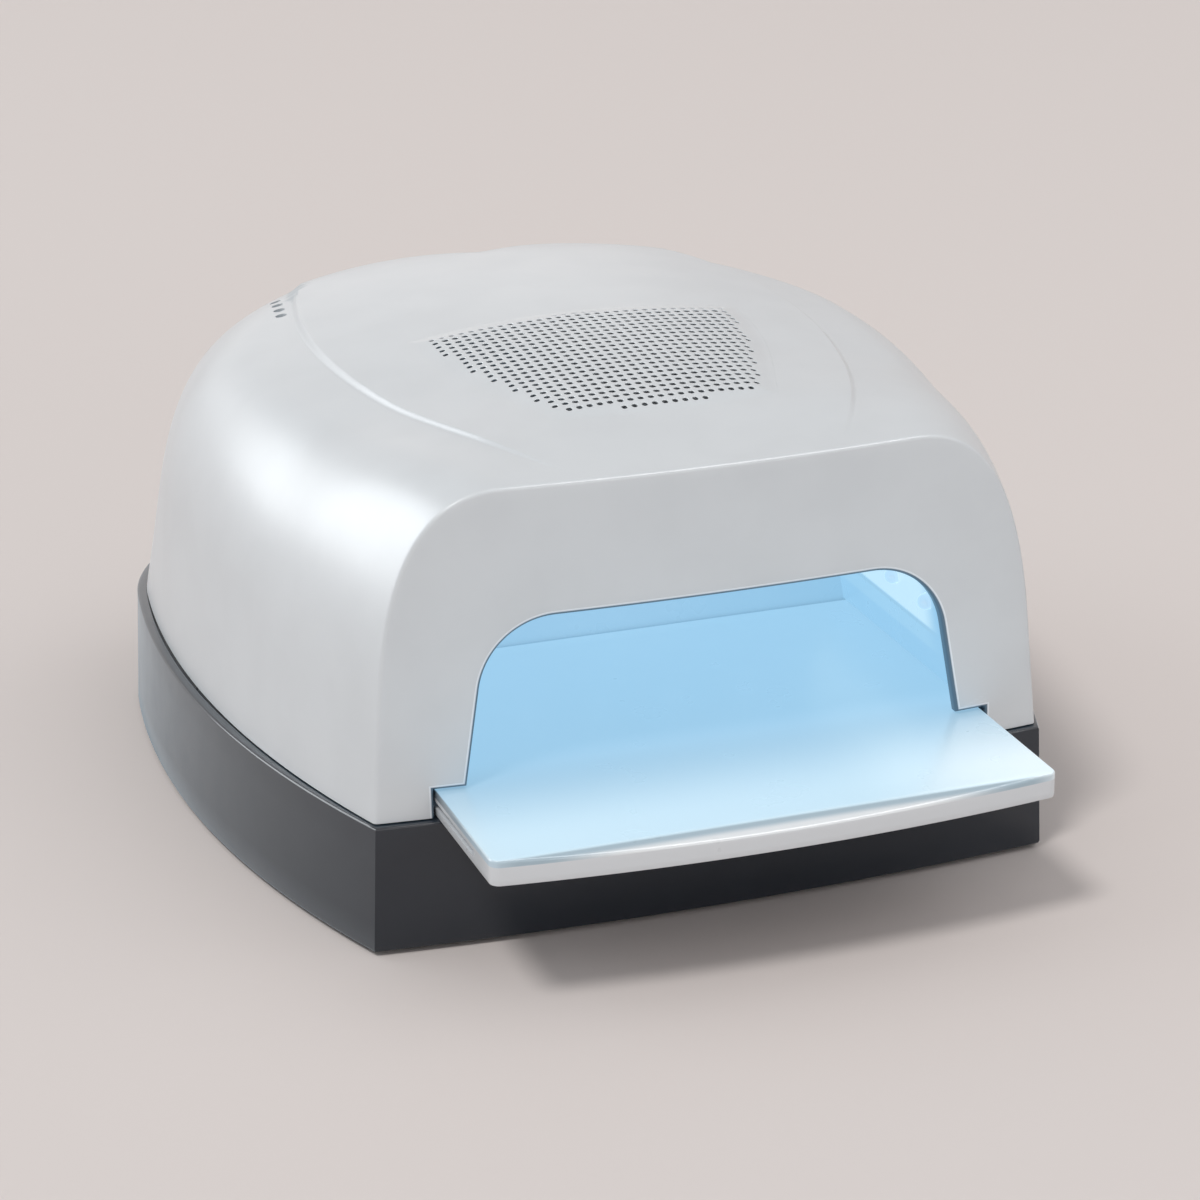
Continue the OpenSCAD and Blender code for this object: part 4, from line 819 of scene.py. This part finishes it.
def bezel_point(x, y, z):
    """A place on the control panel: y up its slope, z out of it."""
    c, s = math.cos(BEZEL_TILT), math.sin(BEZEL_TILT)
    return (x, BEZEL_Y + y * c + z * s, BEZEL_Z - y * s + z * c)


def bezel_box(name, hx, hy, z0, z1):
    v = [bezel_point(x, y, z) for z in (z0, z1) for x, y in ((-hx, -hy), (hx, -hy), (hx, hy), (-hx, hy))]
    f = [(0, 1, 2, 3), (4, 5, 6, 7), (0, 1, 5, 4), (1, 2, 6, 5), (2, 3, 7, 6), (3, 0, 4, 7)]
    return fix_normals(new_object(name, v, f))


def bezel_frame(name, grow, z0, z1):
    return bezel_box(name, BEZEL_X + grow, BEZEL_H + grow, z0, z1)


def build_shell():
    obj = fix_normals(skin("shell_body", shell_surface()), 2e-6, upward=True)
    modify(obj, "SOLIDIFY", thickness=WALL / 1000, offset=-1, use_even_offset=False)
    settle(obj)
    cut(obj, prism("vent_cut", vent_outline(VENT_BORDER + VENT_GAP), *VENT_CUT_Z))
    for s in (-1, 1):
        for i in range(SIDE_HOLES):
            x, y = (mix(a, b, i / (SIDE_HOLES - 1)) for a, b in zip(SIDE_HOLE_FIRST, SIDE_HOLE_LAST))
            cut(obj, rod("hole", s * x, y, SIDE_HOLE_R, *HOLE_CUT_Z))
    # the panel's seat: a frame behind the shell's wall, and in both a pocket and a smaller hole through it
    ring = bezel_frame("ring", BEZEL_FRAME, BEZEL_RING_BACK, BEZEL_FACE)
    cut(ring, bezel_frame("ring_window", BEZEL_GAP, BEZEL_BACK, RING_CUT[1]))
    cut(ring, bezel_frame("ring_through", -BEZEL_LEDGE, *RING_CUT))
    cut(obj, bezel_frame("window", BEZEL_GAP, BEZEL_BACK, WALL_CUT[1]))
    cut(obj, bezel_frame("window_through", -BEZEL_LEDGE, *WALL_CUT))
    obj = join("shell", obj, ring)
    shade(obj, 32)
    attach(obj, "housing")
    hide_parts("outer_shell")
    dress(obj, "shell")


# a cell of the grille: points on each side of its square, and the hole's edge as radii and heights
CELL_N, CELL_COLS, CELL_ROWS = 5, 18, (-3, 34)
HOLE_RIM = ((1.24, 0.0), (1.13, -0.03), (1.04, -0.1), (0.98, -0.26))
# the share of its size that a hole has along the grille's edge, and from where to where inward it grows
EDGE_HOLE, EDGE_REACH = 0.82, (3.5, 12)


def has_hole(i, j):
    """Whether the grille's cell in column i and row j carries a hole."""
    last_col = int(VENT_X1 // VENT_PX)
    last_row = int((VENT_Y1 - VENT_Y0) // VENT_PY)
    x, y = i * VENT_PX, VENT_Y0 + j * VENT_PY
    if abs(i) > last_col or not 0 <= j <= last_row:
        return False
    return abs(x) <= vent_half(y) and vent_first(x) - VENT_SLACK <= y <= vent_last(x)


def build_vent():
    n, ring = CELL_N, 4 * CELL_N
    side, one = np.linspace(-1, 1, n + 1)[:-1], np.ones(n)
    sides = (side, -one), (one, side), (-side, one), (-one, -side)
    square = np.concatenate([np.stack(p, 1) for p in sides])
    angle = np.arctan2(square[:, 1], square[:, 0])
    circle = np.stack([np.cos(angle), np.sin(angle)], 1)
    half = np.array([VENT_PX / 2, VENT_PY / 2])
    line = np.linspace(-1, 1, n + 1)
    plain = np.array([(u, v) for v in line for u in line])
    pts, drop, faces = [], [], []
    for i in range(-CELL_COLS, CELL_COLS + 1):
        for j in range(*CELL_ROWS):
            c = np.array([i * VENT_PX, VENT_Y0 + j * VENT_PY])
            first = len(pts)
            if not has_hole(i, j):
                pts.extend(c + plain * half)
                drop.extend([0.0] * len(plain))
                faces.extend(grid_faces(first, n, n))
                continue
            pts.extend(c + square * half)
            drop.extend([0.0] * ring)
            size = mix(EDGE_HOLE, 1.0, float(smooth(*EDGE_REACH, inside_vent(c[0], c[1]))))
            for r, d in HOLE_RIM:
                pts.extend(c + circle * r * size)
                drop.extend([d] * ring)
            for k in range(len(HOLE_RIM)):
                for q in range(ring):
                    a, b = first + k * ring + q, first + k * ring + (q + 1) % ring
                    faces.append((a, b, b + ring, a + ring))
    p = np.array(pts)
    z = top_at(p[:, 0], p[:, 1]) + np.array(drop)
    obj = fix_normals(new_object("vent_plate", np.c_[p, z], faces), 5e-6, upward=True)
    modify(obj, "SOLIDIFY", thickness=VENT_T / 1000, offset=-1)
    settle(obj)
    cut(obj, prism("vent_trim", vent_outline(VENT_BORDER), *VENT_CUT_Z), "INTERSECT")
    shade(obj, 32)
    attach(obj, "housing")
    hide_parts("vent_grille")
    dress(obj, "shell")


build_shell()
build_vent()


# The base
RIM_R, BASE_WALL, LEDGE_W, LEDGE_T, DECK_Z, PLATE_TOP = 0.7, 4.6, 4.0, 4, 35.0, 3.6
SOCKET_Y, POCKET_HALF, POCKET_DEPTH, CUTOUT_HALF, CUTOUT_HALF_H = 263.0, 42.2, 20, 36, 10.5
POST_R, POST_BORE, POST_INSET, POST_Y = 4.2, 1.55, 8.0, (24.0, MID_Y - 21, DEPTH - 73)
LOWER_EDGE = (1.1, 0.0), (0.35, 0.3), (0.0, 1.1)  # how far in and how high the rounded lower edge lies
CUTOUT_R = 1.5


def plan_outline(plan, inset, front=40):
    """A fine closed outline of the base drawn in by inset, starting at its front right corner."""
    lo, hi = -5.0, 20.0
    for _ in range(40):
        y = (lo + hi) / 2
        lo, hi = (y, hi) if y < plan.bow(plan.half_width(y, inset), inset) else (lo, y)
    s, turn, last = math.asin((y - plan.side[1]) / (plan.r - inset)), plan.turn, plan.last
    parts = (
        (plan.side, plan.r - inset, s, turn, 60),
        (plan.corner, CORNER_R - inset, turn, last, 50),
        (plan.rear, REAR_BOW_R - inset, last, math.pi / 2, 30),
    )
    half = []
    for c, r, a, b, n in parts:
        t = np.linspace(a, b, n + 1)[(1 if half else 0) :]
        half.append(np.stack([c[0] + r * np.cos(t), c[1] + r * np.sin(t)], 1))
    half = np.concatenate(half)
    x = np.linspace(-half[0, 0], half[0, 0], front + 1)[1:-1]
    bow = np.stack([x, plan.bow(x, inset)], 1)
    return np.concatenate([half, (half * [-1, 1])[-2::-1], bow])


def hoops(name, rings, closed=True):
    """A surface through outlines of one length; closed joins the last one to the first."""
    n = len(rings[0])
    v = np.concatenate(rings)
    m = len(rings)
    f = []
    for k in range(m if closed else m - 1):
        for i in range(n):
            a, b = k * n + i, k * n + (i + 1) % n
            c = (k + 1) % m * n
            f.append((a, b, c + (i + 1) % n, c + i))
    return fix_normals(new_object(name, v, f))


def build_base():
    def ring(inset, z):
        """One outline of the base; its outside tapers toward the rim and its inside stands straight."""
        p = plan_outline(BASE, inset)
        taper = 1 - (1 - RIM_TAPER) * (z - BASE_Z) / (RIM_Z - BASE_Z) if inset < BASE_WALL else 1.0
        return np.c_[p[:, 0] * taper, p[:, 1], np.full(len(p), z)]

    profile = [(inset, BASE_Z + z) for inset, z in LOWER_EDGE] + [(0.0, 10), (0.0, 20), (0.0, 29)]
    for k in range(6):
        a = math.pi / 2 * k / 5
        profile.append((RIM_R * (1 - math.cos(a)), RIM_Z - RIM_R + RIM_R * math.sin(a)))
    profile += [(2.0, RIM_Z), (BASE_WALL, RIM_Z), (BASE_WALL, DECK_Z), (BASE_WALL + LEDGE_W, DECK_Z)]
    profile += [(BASE_WALL + LEDGE_W, DECK_Z - LEDGE_T), (BASE_WALL, DECK_Z - LEDGE_T), (BASE_WALL, BASE_Z)]
    obj = hoops("base_body", [ring(i, z) for i, z in profile])
    pocket_x, window_x = (-POCKET_HALF, POCKET_HALF), (-CUTOUT_HALF, CUTOUT_HALF)
    cut(obj, block("pocket", pocket_x, (SOCKET_Y - POCKET_DEPTH, SOCKET_Y), (PLATE_TOP, DECK_Z)))
    z = (PLATE_TOP + DECK_Z) / 2
    window = block("window", window_x, (SOCKET_Y - 1, DEPTH + 22), (z - CUTOUT_HALF_H, z + CUTOUT_HALF_H))
    modify(window, "BEVEL", width=CUTOUT_R / 1000, segments=4, limit_method="ANGLE")
    cut(obj, settle(window))
    posts = []
    for y in POST_Y:
        x = BASE.half_width(y, POST_INSET)
        for s in (-1, 1):
            post = rod("post", s * x, y, POST_R, PLATE_TOP, DECK_Z)
            posts.append(cut(post, rod("bore", s * x, y, POST_BORE, PLATE_TOP - 1, DECK_Z + 1)))
    obj = join("base", obj, *posts)
    shade(obj, 40)
    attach(obj, "housing")
    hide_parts("base_frame")
    dress(obj, "base")


# The hand tray
def build_tray():
    front_y = -TRAY_REACH - FRONT_BOW
    r = (TRAY_HALF**2 + FRONT_BOW**2) / (2 * FRONT_BOW)

    def plan(inset):
        """The tray's outline drawn in by inset: bowed front, rounded corner and straight side."""
        cx, cr = TRAY_HALF - TRAY_CORNER_R, TRAY_CORNER_R - inset
        slope = math.asin(cx / r)
        x = np.linspace(0, cx + cr * math.sin(slope), 40)
        bow = np.stack([x, front_y + r - np.sqrt((r - inset) ** 2 - x * x)], 1)
        a = np.linspace(slope - math.pi / 2, 0, 9)[1:]
        arc = np.stack([cx + cr * np.cos(a), bow[-1, 1] + cr * math.cos(slope) + cr * np.sin(a)], 1)
        run = np.linspace(arc[-1, 1], TRAY_REAR - inset, 24)[1:]
        right = np.concatenate([bow, arc, np.stack([np.full(len(run), TRAY_HALF - inset), run], 1)])
        return np.concatenate([right, (right * [-1, 1])[:0:-1]])

    def flat(inset, rise):
        p = plan(inset)
        return np.c_[p, np.full(len(p), TRAY_Z + rise)]

    def below_top(inset, drop):
        """An outline so far below the top, which slopes down in front of the base."""
        p = plan(inset)
        return np.c_[p, TRAY_TOP - TRAY_FALL / FRONT_BOW * np.maximum(0, -TRAY_REACH - p[:, 1]) - drop]

    rings = [flat(i, rise) for i, rise in ((0.45, 0), (0.13, 0.13), (0.0, 0.5), (0.0, 2), (0.0, 4))]
    for a in np.linspace(0, math.pi / 2, 5):
        rings.append(below_top(TRAY_EDGE_R * (1 - math.cos(a)), TRAY_EDGE_R * (1 - math.sin(a))))
    body = hoops("tray_side", rings, closed=False)
    bm = bmesh.new()
    bm.from_mesh(body.data)
    loops = [e for e in bm.edges if e.is_boundary]
    low = [e for e in loops if max(v.co.z for v in e.verts) < (TRAY_Z + 0.1) / 1000]
    high = [e for e in loops if e not in low]
    bmesh.ops.contextual_create(bm, geom=low)
    # the top is split where it starts to slope down, so that its crease is a real edge
    face = bmesh.ops.contextual_create(bm, geom=high)["faces"]
    crease = (-TRAY_REACH - CENTRE_Y) / 1000
    whole = face + list({e for f in face for e in f.edges}) + list({v for f in face for v in f.verts})
    bmesh.ops.bisect_plane(bm, geom=whole, plane_co=(0, crease, 0), plane_no=(0, 1, 0))
    bmesh.ops.recalc_face_normals(bm, faces=bm.faces)
    bm.to_mesh(body.data)
    bm.free()
    for x in ((-TRAY_HALF - 3, -GROOVE_X), (GROOVE_X, TRAY_HALF + 3)):
        groove = block("groove", x, (GROOVE_START - TRAY_REACH, GROOVE_END), [TRAY_Z + z for z in GROOVE_Z])
        modify(groove, "BEVEL", width=GROOVE_R / 1000, segments=2, limit_method="ANGLE")
        cut(body, settle(groove))
    cell_x = (2 * CORE_HALF + CORE_RIB) / CORE_COLS
    cell_y = (TRAY_REAR - CORE_REAR + TRAY_REACH - CORE_FRONT + CORE_RIB) / CORE_ROWS
    for i in range(CORE_COLS):
        for j in range(CORE_ROWS):
            x, y = -CORE_HALF + i * cell_x, -TRAY_REACH + CORE_FRONT + j * cell_y
            x, y = (x, x + cell_x - CORE_RIB), (y, y + cell_y - CORE_RIB)
            cut(body, block("core", x, y, (TRAY_Z - 1, TRAY_TOP - CORE_TOP)))
    body.name = body.data.name = "tray"
    shade(body, 40)
    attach(body, "tray")
    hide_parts("hand_tray")
    dress(body, "tray")


build_base()
build_tray()

# Nodes kept from the CAD
KEPT = {
    "base_inner": ("bottom_plate", "chassis_deck"),
    "foot": ("rubber_feet",),
    "guide": ("tray_guide_left", "tray_guide_right"),
    "reflector": ("reflector_arch", "reflector_rear"),
    "led_board": ("led_board_top", "led_board_left", "led_board_right", "led_board_rear"),
    "led": ("leds_top", "leds_left", "leds_right", "leds_rear"),
    "heat_sink": ("heat_sink",),
    "fan": ("fan_frame", "fan_rotor"),
    "bezel": ("control_bezel",),
    "button": ("timer_button_a", "timer_button_b", "timer_button_c"),
    "button_start": ("start_button",),
    "light_pipe": ("light_pipes",),
    "circuit_board": ("button_board", "main_board"),
    "black_part": ("tact_switches", "board_parts", "rear_panel", "power_inlet", "switch_housing"),
    "brass": ("board_standoffs",),
    "screw": ("board_screws", "base_screws", "deck_screws", "shell_screws"),
    "rocker": ("switch_rocker",),
}
# the bevels of these nodes, in millimetres
BEVELS = {
    "control_bezel": 0.5,
    "switch_housing": 0.4,
    "switch_rocker": 0.4,
    "board_parts": 0.2,
    **dict.fromkeys(("rear_panel", "rubber_feet", "fan_frame") + KEPT["guide"], 0.3),
    **dict.fromkeys(("heat_sink", "fan_rotor") + KEPT["screw"], 0.15),
}
BEVEL_FROM = 0.7  # the least angle of an edge that is bevelled, in radians
for slot, names in KEPT.items():
    for name in names:
        node = frame["nodes"][name]
        dress(node, slot)
        node.data.shade_smooth()
        node.data.set_sharp_from_angle(angle=math.radians(30))
        if name in BEVELS:
            bevel = modify(node, "BEVEL", width=BEVELS[name] / 1000, segments=2, limit_method="ANGLE")
            bevel.angle_limit = BEVEL_FROM

# Floor, light and camera
FLOOR_COLOUR, FLOOR_HALF, FLOOR_CELLS = (212, 204, 201), 3000, 24


def build_floor():
    g = np.linspace(-FLOOR_HALF, FLOOR_HALF, FLOOR_CELLS + 1)
    v = [(x, y + CENTRE_Y, 0) for y in g for x in g]
    obj = new_object("floor", v, grid_faces(0, FLOOR_CELLS, FLOOR_CELLS))
    obj.data.materials.append(Shader("floor", FLOOR_COLOUR, 0.85).bump(60, 0.02).mat)


build_floor()


def world(colour, strength, seen):
    """Even light from all round; what the camera and reflections see of it is a colour of its own."""
    w = bpy.data.worlds.new("studio")
    bpy.context.scene.world = w
    w.use_nodes = True
    tree = w.node_tree
    tree.nodes.clear()
    out = tree.nodes.new("ShaderNodeOutputWorld")
    light = tree.nodes.new("ShaderNodeBackground")
    back = tree.nodes.new("ShaderNodeBackground")
    path = tree.nodes.new("ShaderNodeLightPath")
    both = tree.nodes.new("ShaderNodeMixShader")
    light.inputs[0].default_value, light.inputs[1].default_value = colour, strength
    back.inputs[0].default_value, back.inputs[1].default_value = seen, 1.0
    seen_by = path.outputs["Is Camera Ray"]
    for ray in ("Is Glossy Ray", "Is Transmission Ray"):
        most = tree.nodes.new("ShaderNodeMath")
        most.operation = "MAXIMUM"
        tree.links.new(seen_by, most.inputs[0])
        tree.links.new(path.outputs[ray], most.inputs[1])
        seen_by = most.outputs[0]
    tree.links.new(seen_by, both.inputs[0])
    tree.links.new(light.outputs[0], both.inputs[1])
    tree.links.new(back.outputs[0], both.inputs[2])
    tree.links.new(both.outputs[0], out.inputs[0])


AIM_Z = 0.07  # height of the lamp's middle, in metres


def toward(azimuth, elevation, distance):
    """A place seen from the lamp's middle at an azimuth and an elevation, in metres."""
    a, e = math.radians(azimuth), math.radians(elevation)
    return (
        distance * math.sin(a) * math.cos(e),
        -distance * math.cos(a) * math.cos(e),
        AIM_Z + distance * math.sin(e),
    )


def lamp(name, kind, way, energy, colour):
    """A light that shines along way."""
    data = bpy.data.lights.new(name, kind)
    data.energy, data.color = energy, colour
    obj = bpy.data.objects.new(name, data)
    obj.rotation_euler = way.to_track_quat("-Z", "Y").to_euler()
    bpy.context.scene.collection.objects.link(obj)
    return obj


WHITE = (1.0, 1.0, 1.0)
# name, azimuth, elevation, distance, size, watts, colour, and whether it shows only in reflections
AREAS = (
    ("softbox", -125, 22, 2.6, (1.7, 1.9), 48, (0.93, 0.975, 1.0), True),
    ("top softbox", 41, 61, 2.6, (1.3, 0.9), 26, WHITE, True),
    ("rear softbox", -176, 14, 3, (3.0, 0.8), 3.8, WHITE, True),
    ("left fill", -112, 34, 2.8, (2.4, 1.6), 9.5, (0.8, 0.93, 1.0), False),
    ("right fill", 74, 46, 2.8, (2.4, 1.6), 9, WHITE, False),
    ("front fill", 14, 13, 2.4, (1.4, 0.7), 6, WHITE, False),
)


def build_lights():
    world((0.975, 0.97, 0.975, 1), 0.52, lin(*FLOOR_COLOUR))
    sun = lamp("sun", "SUN", -Vector(toward(-58, 58, 1)), 1.25, (1.0, 0.985, 0.965))
    sun.data.angle = math.radians(13)
    for name, azimuth, elevation, distance, size, watts, colour, glossy_only in AREAS:
        at = Vector(toward(azimuth, elevation, distance))
        obj = lamp(name, "AREA", Vector((0, 0, AIM_Z)) - at, watts, colour)
        obj.location = at
        obj.data.shape = "RECTANGLE"
        obj.data.size, obj.data.size_y = size
        obj.visible_diffuse = not glossy_only
    glow("led", (188, 221, 242), 0.82)


build_lights()

CAMERA_TURN = (-19.474, 20.692, -0.629)  # azimuth, elevation and roll in degrees
CAMERA_AT = (-0.0329, 0.0844, 1.0103)  # to the right, up and back in the camera's own axes, in metres
FOCAL, PHOTO_WIDTH = 3601.764, 1200  # in the photo's pixels
SENSOR = 36  # in millimetres


def build_camera():
    """The photograph's own camera, solved from the lamp's outline."""
    az, el, roll = (math.radians(a) for a in CAMERA_TURN)
    back = Vector((math.sin(az) * math.cos(el), -math.cos(az) * math.cos(el), math.sin(el)))
    right = Vector((math.cos(az), math.sin(az), 0))
    up = back.cross(right)
    x = right * math.cos(roll) + up * math.sin(roll)
    y = -right * math.sin(roll) + up * math.cos(roll)
    at = x * CAMERA_AT[0] + y * CAMERA_AT[1] + back * CAMERA_AT[2]
    at.y -= CENTRE_Y / 1000
    data = bpy.data.cameras.new("camera")
    data.sensor_width = SENSOR
    data.lens = SENSOR * FOCAL / PHOTO_WIDTH
    data.clip_end = 20
    cam = bpy.data.objects.new("camera", data)
    cam.matrix_world = Matrix(
        ((x.x, y.x, back.x, at.x), (x.y, y.y, back.y, at.y), (x.z, y.z, back.z, at.z), (0, 0, 0, 1))
    )
    bpy.context.scene.collection.objects.link(cam)
    bpy.context.scene.camera = cam


build_camera()
bpy.context.scene.view_settings.view_transform = "Standard"
